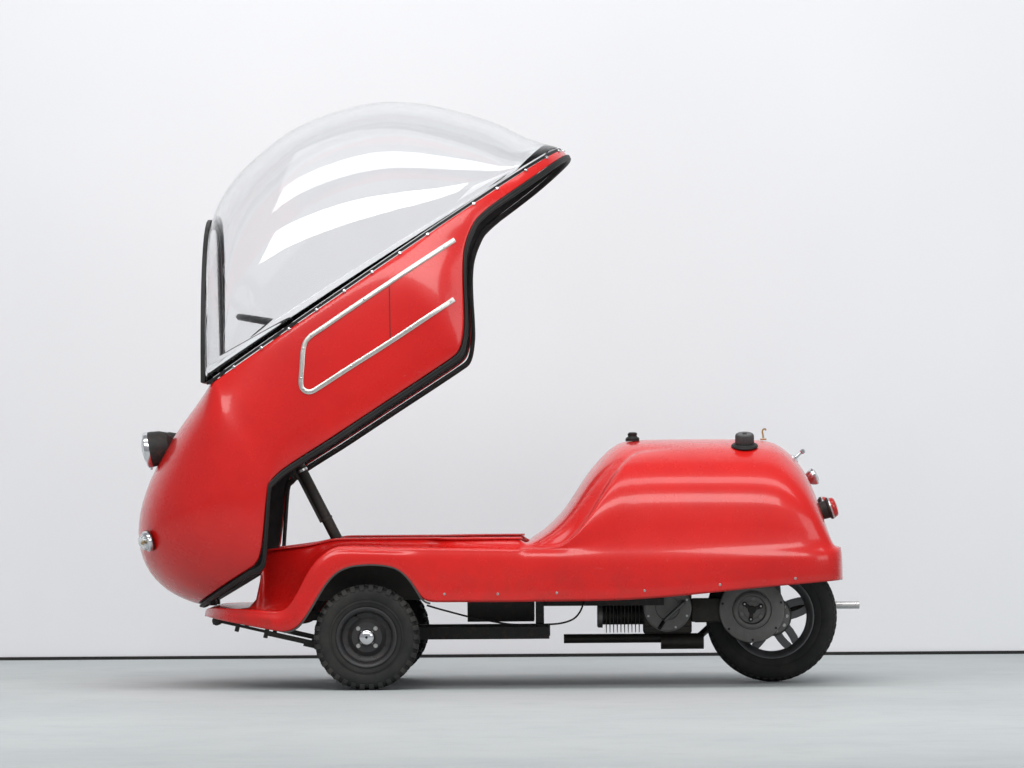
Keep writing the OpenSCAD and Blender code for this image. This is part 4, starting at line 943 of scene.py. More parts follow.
out = SCREEN @ Vector((0, 0, 1))
wiper = [lathe("cap", [(0, -2), (7, -2), (7, 9), (5, 14), (3, 17), (0, 17)], DULL_CHROME,
               screen_pt(wy, 8, wc), out, 24),
         sweep("arm", [arm_pt(s, 12 - 0.02 * s) for s in range(0, 171, 10)],
               [(-3.4, 0), (-3, 2.2), (3, 2.2), (3.4, 0)], DULL_CHROME, fixed=tuple(out)),
         sweep("bow", [arm_pt(s, 6.5 - 0.00035 * (s - 155) ** 2) for s in range(65, 246, 12)],
               [(-2.4, 0), (-2, 2), (2, 2), (2.4, 0)], BLACK_STEEL, fixed=tuple(out)),
         sweep("blade", [arm_pt(s, 0.6) for s in range(60, 251, 19)],
               [(-2.6, 2.6), (-2.6, 0.6), (-0.7, 0), (-0.6, -2.2), (0.6, -2.2), (0.7, 0), (2.6, 0.6), (2.6, 2.6)],
               SEAL, fixed=tuple(out))]
wiper = opened(join("wiper_blade", wiper))
ride(wiper, "canopy", "wiper")


def nose_pt(a, t):
    return canopy_pt(nose_station(a), t)


def nose_dir(a, t):
    return unit(np.cross(nose_pt(a + 1, t) - nose_pt(a - 1, t), nose_pt(a, t + 0.02) - nose_pt(a, t - 0.02)))


def tilted(deg):
    return Vector((math.sin(math.radians(deg)), 0, math.cos(math.radians(deg))))


def headlamp(name):
    p, n = Vector(nose_pt(24, 0.8)), Vector(nose_dir(24, 0.8))
    d = tilted(66)
    o = p + n * 26
    bowl = lathe("bowl", [(0, -58), (30, -54), (46, -40), (54, -18), (57, 10), (57, 26), (55, 27), (53, 10),
                          (50, -16), (42, -36), (28, -49), (0, -52)], BLACK_STEEL, o, d, 72)
    ring = lathe("ring", [(55, 20), (58, 21), (59.4, 27), (58.6, 34), (55.5, 38), (51, 39.4), (49, 37.6),
                          (50.5, 33), (54, 27)], CHROME, o, d, 72)
    reflector = lathe("reflector", [(50, 30), (44, 12), (32, -6), (16, -16), (0, -18), (0, -19), (17, -17.4),
                                    (33.5, -7), (45.5, 11), (52, 30)], CHROME, o, d, 56)
    glass = lathe("glass", [(50.6, 33), (44, 40), (30, 45.5), (14, 48), (0, 48.6), (0, 46.4), (14, 45.8),
                            (29.4, 43.4), (42.8, 38.2), (49, 32)], LENS, o, d, 56)
    parts = [bowl, ring, reflector, glass, lathe("bulb", [(0, -17), (7, -17), (7, -4), (9, 2), (9, 10), (5, 16),
                                                          (0, 18)], LENS, o, d, 20)]
    m = axes(d)
    flutes = []
    for k in range(-5, 6):
        x = k * 8.2
        h = math.sqrt(max(0, 46 ** 2 - x * x))
        pts = []
        for q in range(9):
            y = mix(-h, h, q / 8)
            z = 46.8 - 0.0050 * (x * x + y * y)
            pts.append(o + m @ Vector((y, x, z - 2.4)))
        flutes.append(sweep("flute", pts, ring_of(2.2, 6), LENS, fixed=tuple(d)))
    foot = lathe("foot", [(0, 0.4), (50, 0.4), (50, 3), (46, 6), (0, 6)], SEAL, p, n, 48)
    tab = bolt("tab", o + m @ Vector((0, -60, 29)), m @ Vector((0, -1, 0)), 8, CHROME, 5)
    return join(name, parts + flutes + [foot, tab])


def front_lamp(name):
    p, n = Vector(nose_pt(34, 0.42)), Vector(nose_dir(34, 0.42))
    d = (tilted(86) * 0.5 + n).normalized()
    parts = [lathe("base", [(0, -3), (33, -3), (34, 2), (34, 9), (31, 13), (27, 14), (0, 14)], CHROME,
                   p + n * 3, d, 56),
             lathe("lens", [(26.5, 13.5), (26.5, 18), (24, 25), (18, 30), (9, 33), (0, 34), (0, 31), (9, 30),
                            (17, 27), (22, 23), (24, 17), (24, 13.5)], LENS, p + n * 3, d, 48),
             lathe("pad", [(0, -1.8), (34.6, -1.8), (34.6, -4.6), (0, -4.6)], SEAL, p + n * 3, d, 48),
             lathe("bulb", [(0, 14), (5, 14), (7, 20), (5, 26), (0, 28)], BRASS, p + n * 3, d, 20)]
    for k in (0, 1):
        m = axes(d)
        parts.append(screw("s", p + n * 3 + m @ Vector((0, 30 if k else -30, 11.5)), d, 5, DULL_CHROME, 2))
    return join(name, parts)


for make, tag in ((headlamp, "headlamp"), (front_lamp, "front_lamp")):
    left = make(tag + "_left")
    right = mirrored(left, tag + "_right")
    for piece in (left, right):
        opened(piece)
        ride(piece, "canopy", tag + "s")

# Steering wheel and its column
HUB, FOOT = Vector((F - 167, -150, 917)), Vector((F + 164, -150, 570))
col = (HUB - FOOT).normalized()
m = axes(col)
wheel_parts = []
rim_path, scale = [], []
for k in range(96):
    a = 2 * math.pi * k / 96
    rim_path.append(HUB + m @ Vector((139 * math.cos(a), 139 * math.sin(a), 0)))
    scale.append(1.0 + 0.05 * math.cos(24 * a))
wheel_parts.append(sweep("rim", rim_path, ring_of(20.5, 14), WHEEL_GREY, True, fixed=tuple(col), scales=scale))
for a in (30, 150, 270):
    c, s = math.cos(math.radians(a)), math.sin(math.radians(a))
    for off in (-5, 5):
        wheel_parts.append(sweep("spoke", [HUB + m @ Vector((c * r - s * off, s * r + c * off, h)) for r, h in
                                           ((16, -9), (40, -7), (80, -3), (115, 0), (134, 0))],
                                 ring_of(5.5, 10), CHROME, fixed=tuple(col)))
wheel_parts.append(lathe("hub", [(0, -14), (20, -14), (25, -8), (26, 0), (24, 7), (18, 11), (0, 12)], WHEEL_GREY,
                         HUB, col, 48))
wheel_parts.append(lathe("button", [(0, 11), (13, 11), (14, 13), (10, 15.5), (0, 16.5)], DULL_CHROME, HUB, col, 40))
wheel_parts.append(lathe("shaft", [(0, -478), (8, -478), (8, -12), (0, -12)], DULL_CHROME, HUB, col, 32))
steering = opened(join("steering_wheel_rim", wheel_parts))
ride(steering, "steering_wheel", "steering_wheel")
finish_node("steering_column", BLACK_STEEL, 1.5)

# ------------------------------------------------------------------ the stay

finish_node("stay_tube", OILY, 1.0)
finish_node("stay_pivot", BLACK_STEEL, 1.0)
finish_node("stay_bracket", BLACK_STEEL, 1.0)
stay_foot = Vector((F + 62, 285, 400))
stay_up = Vector((math.sin(math.radians(27)), 0, math.cos(math.radians(27))))
stay_x = Vector((math.cos(math.radians(27)), 0, -math.sin(math.radians(27))))
bits = []
for s in (52, 160, 335, 379):
    bits.append(lathe("band", [(18.2, 0), (20, 1), (20, 8), (18.2, 9)], DULL_CHROME if s > 300 else OILY,
                      stay_foot + stay_up * s, stay_up, 40, closed=True))
hook = [stay_foot + stay_x * x + stay_up * z for x, z in ((17, 320), (25, 322), (31, 327), (34, 334), (33, 342))]
bits.append(sweep("hook", smooth_path(hook, 4), ring_of(6.5, 10), OILY, fixed=(0, 1, 0)))
stay_bits = join("stay_bands", bits)
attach(stay_bits, "stay")

# ----------------------------------------------------------------- hump pieces


def side_slope(x, y):
    a = math.atan((skin_z(x, y + 2) - skin_z(x, y - 2)) / 4)
    return Vector((x, y, skin_z(x, y))), Vector((0, -math.sin(a), math.cos(a)))


p, n = side_slope(R + 92, 300)
cap = [lathe("grommet", [(0, 0.3), (43, 0.3), (43.5, 3), (41, 7), (36, 9), (33, 12), (0, 12)], SEAL, p, n, 64)]
knurl = []
for k in range(120):
    a = 2 * math.pi * k / 120
    knurl.append((29.6 + (0.9 if k % 4 < 2 else -0.5), a))
m3 = axes(n)
v, f = [], []
for z, g in ((12, 0.95), (15, 1.0), (36, 1.0), (41, 0.95), (44, 0.82)):
    v += [p + m3 @ Vector((r * g * math.cos(a), r * g * math.sin(a), z)) for r, a in knurl]
for j in range(4):
    f += [(j * 120 + k, j * 120 + (k + 1) % 120, (j + 1) * 120 + (k + 1) % 120, (j + 1) * 120 + k)
          for k in range(120)]
f += [tuple(range(120))[::-1], tuple(range(480, 600))]
cap.append(to_mesh("cap", v, f, WHEEL_GREY, True, 30))
cap.append(lathe("vent", [(0, 43.5), (7, 43.5), (7, 45.5), (5, 46), (0, 46)], BLACK_STEEL, p, n, 24))
ride_base(join("filler_cap_knob", cap), "filler_cap")

p = Vector((R + 22, 0, skin_z(R + 22, 0)))
hook = [block("plate", (p.x - 10, -18, p.z + 0.5), (p.x + 10, 18, p.z + 5.4), BRASS, 1.4)]
hook.append(sweep("hook", smooth_path([p + Vector(q) for q in ((0, 0, 3), (1, 0, 16), (3, 0, 27), (0, 0, 35),
                                                               (-6, 0, 36.5), (-9, 0, 32))], 5),
                  [(-5, -2.6), (5, -2.6), (5, 2.6), (-5, 2.6)], BRASS, fixed=(1, 0, 0)))
for sy in (-12, 12):
    hook.append(screw("s", (p.x, sy, p.z + 5.2), (0, 0, 1), 6.5, DULL_CHROME, 2))
ride_base(join("latch_hook_brass", hook), "latch_hook")

x = R - 78
tilt = math.atan((curve(HUMP, x + 4) - curve(HUMP, x - 4)) / 8)
n = Vector((-math.sin(tilt), 0, math.cos(tilt)))
p = Vector((x, 0, curve(HUMP, x)))
tee = [lathe("rose", [(0, 0.8), (18, 0.8), (18, 3), (14, 6), (9, 8), (0, 8)], CHROME, p, n, 48),
       lathe("stem", [(0, 6), (7, 6), (6, 16), (5.5, 26), (6.5, 37), (0, 37)], CHROME, p, n, 32)]
grip = p + n * 36.8
tee.append(lathe("grip", [(0, -44), (5, -44), (8, -40), (7.4, -24), (6.4, -8), (6.4, 8), (7.4, 24), (8, 40),
                          (5, 44), (0, 44)], CHROME, grip, (0, 1, 0), 32))
ride_base(join("rear_handle_tee", tee), "rear_handle")

d = Vector((-math.sin(math.radians(66)), 0, math.cos(math.radians(66))))
zx = R - 40
while curve(HUMP, zx) >= 662:
    zx -= 1
o = Vector((zx + 0.6, 0, 662))
ride_base(join("reversing_lamp_glass", [
    lathe("b", [(0, 0), (17, 0), (25, 14), (28.6, 24), (28.6, 30), (26, 32), (24, 30), (0, 29)], CHROME, o, d, 56),
    lathe("g", [(24.6, 30.5), (20, 34.6), (11, 37), (0, 37.6), (0, 35.4), (10, 34.9), (18.5, 32.6), (22.5, 29.4)],
          LENS, o, d, 48),
    lathe("pad", [(0, -0.3), (20, -0.3), (20, 2.4), (0, 2.4)], SEAL, o, d, 40)]), "reversing_lamp")


def tail_at(y, z):
    lo, hi = R - 214, R - 40
    for _ in range(18):
        m = (lo + hi) / 2
        lo, hi = (m, hi) if skin_z(m, y) < z else (lo, m)
    return Vector(((lo + hi) / 2, y, z))


p = tail_at(250, 560)
n = (tail_at(250, 563) - tail_at(250, 557)).cross(tail_at(253, 560) - tail_at(247, 560)).normalized()
n = n if n.x < 0 else -n
lamp = [lathe("base", [(0, 0.6), (28, 0.6), (29, 8), (30, 22), (35, 25), (36, 28), (36, 32), (33, 33.5), (0, 33.5)],
              BLACK_STEEL, p, n, 64),
        lathe("lens", [(33.5, 33), (33.5, 38), (31, 46), (26, 50.5), (14, 53.4), (0, 54.4), (0, 51), (13, 50),
                       (24, 47.4), (28, 44), (30.5, 37), (30.5, 33)], RED_LENS, p, n, 64),
        lathe("bulb", [(0, 33), (7, 33), (8, 38), (6, 44), (0, 46)], RED_LENS, p, n, 24),
        lathe("ring", [(33, 31.5), (36.2, 31.5), (36.4, 35), (33.6, 36.5)], DULL_CHROME, p, n, 64)]
lamp_left = join("rear_lamp_left", lamp)
lamp_right = mirrored(lamp_left, "rear_lamp_right")
for piece in (lamp_left, lamp_right):
    ride_base(piece, "rear_lamps")

# Blank number plate: a pressed border and four bolts
px = R - 220
plate = [block("plate", (px + 0.2, -159.6, 343.4), (px + 2.6, 159.6, 442.6), PLATE, 1.2, segments=3)]
frame_path = [(px + 0.3, y, z) for y, z in ((-153, 350), (153, 350), (153, 436), (-153, 436))]
plate.append(sweep("edge", frame_path, [(-1.6, -1), (-1.6, 0.6), (0, 1.4), (1.6, 0.6), (1.6, -1)], BLACK_STEEL, True,
                   fixed=(-1, 0, 0)))
for y in (-120, 120):
    for z in (362, 424):
        plate.append(bolt("b", (px + 0.4, y, z), (-1, 0, 0), 8, DULL_CHROME, 3.4))
ride_base(join("licence_plate_blank", plate), "licence_plate")

buffers = []
for y in (130, -130):
    p, n = side_slope(R + 452, y)
    buffers.append(lathe("buffer", [(0, 0.4), (22, 0.4), (22, 8), (19, 12), (15, 13.5), (13.4, 17), (14.6, 20),
                                    (15, 24), (12, 27.4), (6, 28.2), (0, 28.2)], SEAL, p, n, 48))
ride_base(join("rubber_buffer_pair", buffers), "rubber_buffers")

# -------------------------------------------------------- trim of the lower body

# Rolled red edge on the cockpit's coaming, and a dark flange round each wheel arch
coam = []
xs = list(np.linspace(TUB_REAR + 6, TUB_FRONT - 16, 60))
for x in xs:
    coam.append((x, tub_w(x) + 18, curve(COAMING, x) + 0.6))
left = sweep("coaming", coam, [(-10, -2), (-10, 1.4), (-6, 4), (0, 5), (6, 4), (10, 1.4), (10, -2)], RED)
right = mirrored(left, "coaming_right")
left.name = "coaming_left"
ride_base(left)
ride_base(right)

arch = [(x, curve(SKIRT, x)) for x in np.linspace(F - 205, F + 262, 90)]
flange = []
for x, z in arch:
    w = (nose_w(x) + 8 if x > NOSE_X else HALF) - SHELL_T / 2
    flange.append((x, w, z - 0.6))
left_lip = sweep("arch", flange, [(-2.6, 1.4), (2.6, 1.4), (3.1, 0), (2.2, -1.6), (-2.2, -1.6), (-3.1, 0)], FIBRE,
            fixed=(0, 1, 0))
right_lip = mirrored(left_lip, "arch_edge_right")
left_lip.name = "arch_edge_left"
ride_base(left_lip)
ride_base(right_lip)

# Screws along the sill
fixings = []
for x in (F - 250, F - 420, R + 700, R + 420, R + 180, R - 60):
    for side in (1, -1):
        z = mix(crease_z(x) - 14 if x > TUB_REAR else WAIST_Z, curve(SKIRT, x), 0.82)
        w = HALF - curve(TAIL_IN, x)
        fixings.append(screw("s", (x, side * (w - 0.2), z), (0, side, 0), 9, DULL_CHROME, 2.4))
ride_base(join("sill_screws", fixings))

# ------------------------------------------------------------------- cockpit

lo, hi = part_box("floor_mat")
x0, y0, z0, x1, y1, z1 = (q / MM for q in (*lo, *hi))
mat = [block("mat", (x0 + 0.5, y0 + 0.5, z0 + 0.1), (x1 - 0.5, y1 - 0.5, z0 + 3.2), SEAL, 1.0)]
for k in range(int((y1 - y0 - 20) // 14)):
    y = y0 + 14 + 14 * k
    mat.append(sweep("rib", [(x0 + 10, y, z0 + 3), (x1 - 10, y, z0 + 3)], [(-3, 0), (-2, 1.7), (2, 1.7), (3, 0)], SEAL))
ride_base(join("floor_mat_ribbed", mat), "floor_mat")

pedal_pieces = []
for y in (-250, -170, -90):
    a = Vector((F + 257, y, FLOOR_Z + 4))
    up = Vector((math.sin(math.radians(22)), 0, math.cos(math.radians(22))))
    fwd = Vector((math.cos(math.radians(22)), 0, -math.sin(math.radians(22))))
    pedal_pieces.append(sweep("arm", [a + up * s for s in (2, 40, 80, 108)],
                              [(-6, -3.5), (6, -3.5), (6, 3.5), (-6, 3.5)], BLACK_STEEL, fixed=tuple(fwd)))
    base = Vector((F + 288, y, FLOOR_Z + 96))
    turn = Matrix((fwd, (0, 1, 0), up)).transposed()
    pedal_pieces.append(block("pad", tuple(base + Vector((0.5, -27.5, 0.5))), tuple(base + Vector((7.5, 27.5, 49.5))),
                              SEAL, 2.5, (turn, tuple(base))))
    for k in range(6):
        q = base + fwd * -0.4 + up * (7 + 7.4 * k)
        pedal_pieces.append(sweep("rib", [q + Vector((0, -24, 0)), q + Vector((0, 24, 0))],
                                  [(-1.4, -1.2), (1.4, -1.2), (1.4, 1.2), (-1.4, 1.2)], SEAL, fixed=tuple(fwd)))
    pedal_pieces.append(block("foot", (F + 240.5, y - 15.5, FLOOR_Z + 0.5),
                              (F + 275.5, y + 15.5, FLOOR_Z + 8), BLACK_STEEL, 2))
    pedal_pieces.append(lathe("pin", [(0, -14), (4, -14), (4, 14), (0, 14)], DULL_CHROME, (F + 257, y, FLOOR_Z + 10),
                              (0, 1, 0), 24))
ride_base(join("pedal_set", pedal_pieces), "pedals")


def cushion():
    """The seat pad: a sewn, padded shape, swelled by a cloth simulation, then given its seams."""
    lo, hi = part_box("seat_cushion")
    x0, y0, z0, x1, y1, z1 = (q / MM for q in (*lo, *hi))
    v_front = tub_w(F) - 32
    w_rear = tub_w(TUB_REAR + 22) - 32
    outline = [(x0, -w_rear), (F - 320, -w_rear), (F - 235, -v_front), (x1, -v_front),
               (x1, v_front), (F - 235, v_front), (F - 320, w_rear), (x0, w_rear)]
    inset_by, low, high = 13, z0 + 3, z1 - 15
    cx, n = sum(p[0] for p in outline) / 8, len(outline)
    pts = [(cx + (p[0] - cx) * (1 - inset_by / 190), p[1] * (1 - inset_by / 400)) for p in outline]
    verts = [(*p, low) for p in pts] + [(*p, high) for p in pts]
    faces = [tuple(range(n))[::-1], tuple(range(n, 2 * n))]
    faces += [(k, (k + 1) % n, n + (k + 1) % n, n + k) for k in range(n)]
    ob = to_mesh("seat_pad", verts, faces, VINYL)
    bake(bevel(ob, 16, 4, 30))
    remesh = ob.modifiers.new("remesh", "REMESH")
    remesh.mode, remesh.voxel_size, remesh.use_smooth_shade = "VOXEL", 0.006, True
    bake(ob)
    rest = np.array([v.co for v in ob.data.vertices])
    cloth = ob.modifiers.new("cloth", "CLOTH")
    s = cloth.settings
    s.quality, s.mass, s.tension_stiffness, s.compression_stiffness = 4, 0.4, 12, 12
    s.shear_stiffness, s.bending_stiffness = 6, 1.5
    s.use_pressure, s.uniform_pressure_force = True, 4.0
    s.effector_weights.gravity = 0
    cloth.point_cache.frame_end = 20
    for frame_no in range(1, 21):
        bpy.context.scene.frame_set(frame_no)
    bake(ob)
    bpy.context.scene.frame_set(1)
    now = np.array([v.co for v in ob.data.vertices])
    move = now - rest
    length = np.linalg.norm(move, axis=1, keepdims=True)
    move *= np.minimum(1, 0.014 / np.maximum(length, 1e-9))
    now = rest + move
    # sewn channels across the top, a centre seam, and the flat underside
    X, Y, Z = now[:, 0] / MM, now[:, 1] / MM, now[:, 2] / MM
    top = np.clip((Z - (high - 24)) / 22, 0, 1)
    for k in range(-8, 9):
        y = k * 41.0
        depth = 8.5 if k == 0 else 5.0
        Z -= top * depth * np.exp(-((Y - y) / 4.2) ** 2)
    dish = np.exp(-((X - (x0 + 190)) / 130) ** 2) * (np.exp(-((Y - 175) / 120) ** 2) + np.exp(-((Y + 175) / 120) ** 2))
    Z -= top * 6 * dish
    Z = np.clip(Z, z0 + 0.4, z1 + 1)
    now = np.stack([np.clip(X, x0 + 0.5, x1 - 0.5), np.clip(Y, y0 + 0.5, y1 - 0.5), Z], 1) * MM
    ob.data.vertices.foreach_set("co", now.astype(np.float32).ravel())
    for p in ob.data.polygons:
        p.use_smooth = True
    bake(subdivide(ob))
    return ob, pts, high


pad, pad_outline, pad_top = cushion()
ride_base(pad, "seat_cushion")
loop_pts = [(*p, pad_top - 3) for p in pad_outline]
cx = sum(p[0] for p in loop_pts) / 8
grown = [(cx + (p[0] - cx) * 1.045, p[1] * 1.018, p[2]) for p in loop_pts]
rounded = []
for i in range(8):
    a, b, c = Vector(grown[i - 1]), Vector(grown[i]), Vector(grown[(i + 1) % 8])
    r = min(26, (a - b).length * 0.3, (c - b).length * 0.3)
    s, e = b + (a - b).normalized() * r, b + (c - b).normalized() * r
    for t in (0, 0.25, 0.5, 0.75, 1):
        rounded.append(s * (1 - t) ** 2 + b * 2 * t * (1 - t) + e * t * t)
piping = sweep("seat_piping", rounded, ring_of(6.5, 10), VINYL, True)
ride_base(piping)

# ------------------------------------------------------------------- wheels


def tyre_body(name, c, d, w, rim_d, spin_axis=(0, 1, 0)):
    r, b, s = d / 2, rim_d / 2, w / 2
    prof = [(b - 3, -s * 0.5), (b, -s * 0.72), (b + 5, -s * 0.84), (b + 9, -s * 0.875), (mix(b, r, 0.3), -s * 0.97),
            (mix(b, r, 0.36), -s * 0.94), (mix(b, r, 0.4), -s * 0.99), (mix(b, r, 0.62), -s * 0.99),
            (mix(b, r, 0.78), -s * 0.95), (r - 10, -s * 0.8), (r - 6, -s * 0.5), (r - 5, 0)]
    prof = prof + [(q[0], -q[1]) for q in prof[-2::-1]]
    return lathe(name, prof, TYRE, c, spin_axis, 96, 40)


def block_ring(name, c, rows, material):
    """Tread blocks round a wheel. Each row: count, phase, half angle, and corner (radius, side) pairs."""
    verts, faces = [], []
    for count, phase, half, prof in rows:
        for k in range(count):
            a0 = 2 * math.pi * (k + phase) / count
            base = len(verts)
            n = len(prof)
            for j, sgn in enumerate((-1, 1)):
                for r, y, shrink, lag in prof:
                    a = a0 + sgn * half * shrink + lag
                    verts.append((c[0] + r * math.cos(a), c[1] + y, c[2] + r * math.sin(a)))
            faces += [tuple(base + q for q in range(n)), tuple(base + n + q for q in range(n))[::-1]]
            faces += [(base + q, base + n + q, base + n + (q + 1) % n, base + (q + 1) % n) for q in range(n)]
    return to_mesh(name, verts, faces, material, False)


def knobbly(name, side):
    c = (F, side * TRACK / 2, FRONT_R)
    body = tyre_body(name, c, 338, 100, 182)
    rows = []
    for s, phase in ((1, 0.0), (-1, 0.5)):
        half = 0.058
        rows.append((34, phase, half, [(148, 40 * s, 1.0, 0), (150, 50 * s, 0.9, 0), (160, 48.5 * s, 0.86, 0),
                                       (167.6, 41.5 * s, 0.82, 0), (169, 36 * s, 0.8, 0), (169, 20 * s, 0.78, 0.02 * s),
                                       (161, 19 * s, 0.95, 0.02 * s), (155, 30 * s, 1.0, 0)]))
        rows.append((34, phase + 0.5, half * 0.8, [(161, 0.8 * s, 1.0, 0.01), (168.6, 1.4 * s, 0.8, 0.01),
                                                   (168.8, 14.6 * s, 0.8, 0), (161, 15.4 * s, 1.0, 0)]))
    blocks = block_ring(name + "_blocks", c, rows, TREAD)
    bake(bevel(blocks, 1.1, 1, 40))
    ribs = []
    for s in (1, -1):
        ribs.append(lathe("rib", [(111, s * 48.2), (112.5, s * 50), (114, s * 48.2)], TYRE, c, (0, 1, 0), 96))
    return join(name, [body, blocks] + ribs)


def valve(c, r, y, ang, side):
    p = Vector(c) + Vector((r * math.cos(ang), y, r * math.sin(ang)))
    d = Vector((-0.25 * math.cos(ang), side * 1.0, -0.25 * math.sin(ang))).normalized()
    return lathe("valve", [(0, 0), (3.4, 0), (3.2, 10), (2.4, 11), (2.4, 16), (0, 16.5)], SEAL, p, d, 14)


def front_rim(name, side):
    c = Vector((F, side * TRACK / 2, FRONT_R))
    d = (0, side, 0)
    parts = [lathe("rim", [(86.7, -25), (86.7, 25), (90, 36), (92, 41), (97, 44), (96.4, 46.4), (93, 47), (87, 43.5),
                           (83.5, 38.5), (81, 32), (80.4, 25), (78.5, 16), (72, 11), (62, 9.5), (55, 13), (48, 18.5),
                           (30, 19.2), (30, 14.5), (46, 13), (54, 6.5), (62, 3.5), (80.4, 4), (80.4, -25), (84, -38),
                           (93, -47), (97, -44), (90, -36)], RIM_BLACK, c, d, 96, 35),
             lathe("hub", [(10.2, -22), (25, -22), (25, 14), (30, 15), (30, 20), (26.5, 22), (25.5, 29), (10.2, 29)],
                   RIM_BLACK, c, d, 64),
             lathe("cap", [(26.6, 28.5), (27.4, 30), (27.2, 35), (25, 40.5), (20, 45), (12, 48), (5, 49), (0, 49),
                           (0, 47.6), (11, 46.4), (19, 43.4), (24, 38.6), (25.8, 34), (26, 28.5)], CHROME, c, d, 72),
             lathe("nut", [(0, 45.5), (4, 45.5), (4, 49), (0, 49)], CHROME, c, d, 24)]
    for k in range(4):
        a = math.pi / 4 + k * math.pi / 2
        p = c + Vector((39 * math.cos(a), side * 18.6, 39 * math.sin(a)))
        parts.append(bolt("bolt", p, d, 11, DULL_CHROME, 7))
    for k in range(8):
        a = math.pi / 8 + k * math.pi / 4
        p = c + Vector((67 * math.cos(a), side * 9.8, 67 * math.sin(a)))
        parts.append(lathe("hole", [(0, -0.8), (5.6, -0.8), (5.6, 1.0), (4.6, 1.4), (3.8, 0.2), (0, 0.2)],
                           OILY, p, d, 20))
    parts.append(valve(c, 76, side * 14, 1.1, side))
    return join(name, parts)


for side, tag in ((1, "left"), (-1, "right")):
    t = knobbly("front_tyre_knobbly_" + tag, side)
    ride(t, "wheel_" + tag, "front_tyre_" + tag)
    r = front_rim("front_wheel_disc_" + tag, side)
    ride(r, "wheel_" + tag, "front_rim_" + tag)

c = Vector((R, 0, REAR_R))
rt = tyre_body("rear_tyre_round", c, 430, 90, 266)
rows = []
for s, phase in ((1, 0.0), (-1, 0.5)):
    rows.append((56, phase, 0.036, [(205, 22 * s, 1.0, 0), (213.6, 22 * s, 0.86, 0), (211.2, 33 * s, 0.86, 0),
                                    (206.5, 38.4 * s, 0.9, 0), (199, 37 * s, 1.0, 0)]))
    rows.append((56, phase + 0.4, 0.040, [(207, 3.5 * s, 1.0, 0), (215, 3.5 * s, 0.9, 0), (214.6, 17 * s, 0.9, 0.012),
                                          (207, 17.6 * s, 1.0, 0.012)]))
rear_blocks = bake(bevel(block_ring("rear_blocks", c, rows, TREAD), 0.8, 1, 40))
rt = join("rear_tyre_road", [rt, rear_blocks])
ride(rt, "rear_wheel", "rear_tyre")

parts = [lathe("rim", [(128.7, -22.5), (128.7, 22.5), (132.4, 32), (134, 38.5), (139, 41), (138.6, 43.4), (135, 43.9),
                       (128, 39), (124.5, 33), (123, 24), (121, 21), (119, 10), (115, 5), (115, -5), (119, -10),
                       (121, -21), (123, -24), (124.5, -33), (128, -39), (135, -43.9), (139, -41), (134, -38.5),
                       (132.4, -32)], RIM_GREY, c, (0, 1, 0), 96, 35),
         lathe("drum", [(10.2, -26), (40, -26), (60, -22), (66, -14), (66, 14), (60, 22), (40, 26), (10.2, 26)],
               ALLOY, c, (0, 1, 0), 72)]
for k in range(5):
    a0 = 2 * math.pi * (k + 0.25) / 5
    for off in (-1, 1):
        pts = []
        for r in (62, 80, 100, 117):
            a = a0 + off * mix(0.30, 0.12, (r - 62) / 55)
            pts.append(c + Vector((r * math.cos(a), off * 1.5, r * math.sin(a))))
        parts.append(sweep("spoke", pts, [(-11, -5), (11, -5), (13, 0), (11, 5), (-11, 5), (-13, 0)], RIM_GREY,
                           fixed=(0, 1, 0)))
for k in range(10):
    a = 2 * math.pi * k / 10
    parts.append(bolt("b", c + Vector((50 * math.cos(a), 24, 50 * math.sin(a))), (0, 1, 0), 9, DULL_CHROME, 5))
parts.append(valve(c, 122, 8, 4.2, 1))
rear_wheel = join("rear_wheel_spoked", parts)
ride(rear_wheel, "rear_wheel", "rear_rim")

# --------------------------------------------------------------- drive and engine

ARM_Y, ENGINE_X, ENGINE_Z = 58.0, R + 262, 238.0
COVER = Vector((R + 66, ARM_Y + 18, ENGINE_Z))
d = (0, 1, 0)
cover = [lathe("plate", [(0, 0), (104, 0), (107.4, 3), (108, 6), (108, 13), (106, 17.5), (101, 19.4), (64.5, 20.6),
                         (63, 17.6), (60.5, 17.6), (60, 25.4), (57, 27.2), (48, 27.8), (46, 26), (45.4, 22), (43, 20.4),
                         (30, 20.4), (28.6, 21.6), (0, 21.6)], ALLOY, COVER, d, 96),
         lathe("hub", [(0, 21), (13, 21), (13, 27.5), (11, 29.6), (5, 30), (0, 30)], BLACK_STEEL, COVER, d, 40)]
for k in range(3):
    a = math.radians(38 + 120 * k)
    u = Vector((math.cos(a), 0, math.sin(a)))
    cover.append(sweep("arm", [COVER + Vector((0, 24.4, 0)) + u * s for s in (8, 16, 24, 31)],
                       [(-5, -3), (5, -3), (6, 0), (4, 3.2), (-4, 3.2), (-6, 0)], BLACK_STEEL, fixed=(0, 1, 0)))
    cover.append(lathe("foot", [(0, 20.4), (8, 20.4), (8, 26.2), (6, 27.6), (0, 27.6)], BLACK_STEEL,
                       COVER + u * 31, d, 28))
    cover.append(bolt("b", COVER + u * 31 + Vector((0, 27, 0)), d, 6.5, DULL_CHROME, 2.8))
for k in range(3):
    a = math.radians(98 + 120 * k)
    cover.append(lathe("pad", [(0, 20), (7, 20), (6.4, 23), (0, 23)], ALLOY,
                       COVER + Vector((36 * math.cos(a), 0, 36 * math.sin(a))), d, 24))
for k in range(7):
    a = math.radians(12 + 360 / 7 * k)
    cover.append(screw("s", COVER + Vector((98 * math.cos(a), 19.2, 98 * math.sin(a))), d, 8, OILY, 2.4))
ride_base(join("drive_cover_cast", cover), "drive_cover")

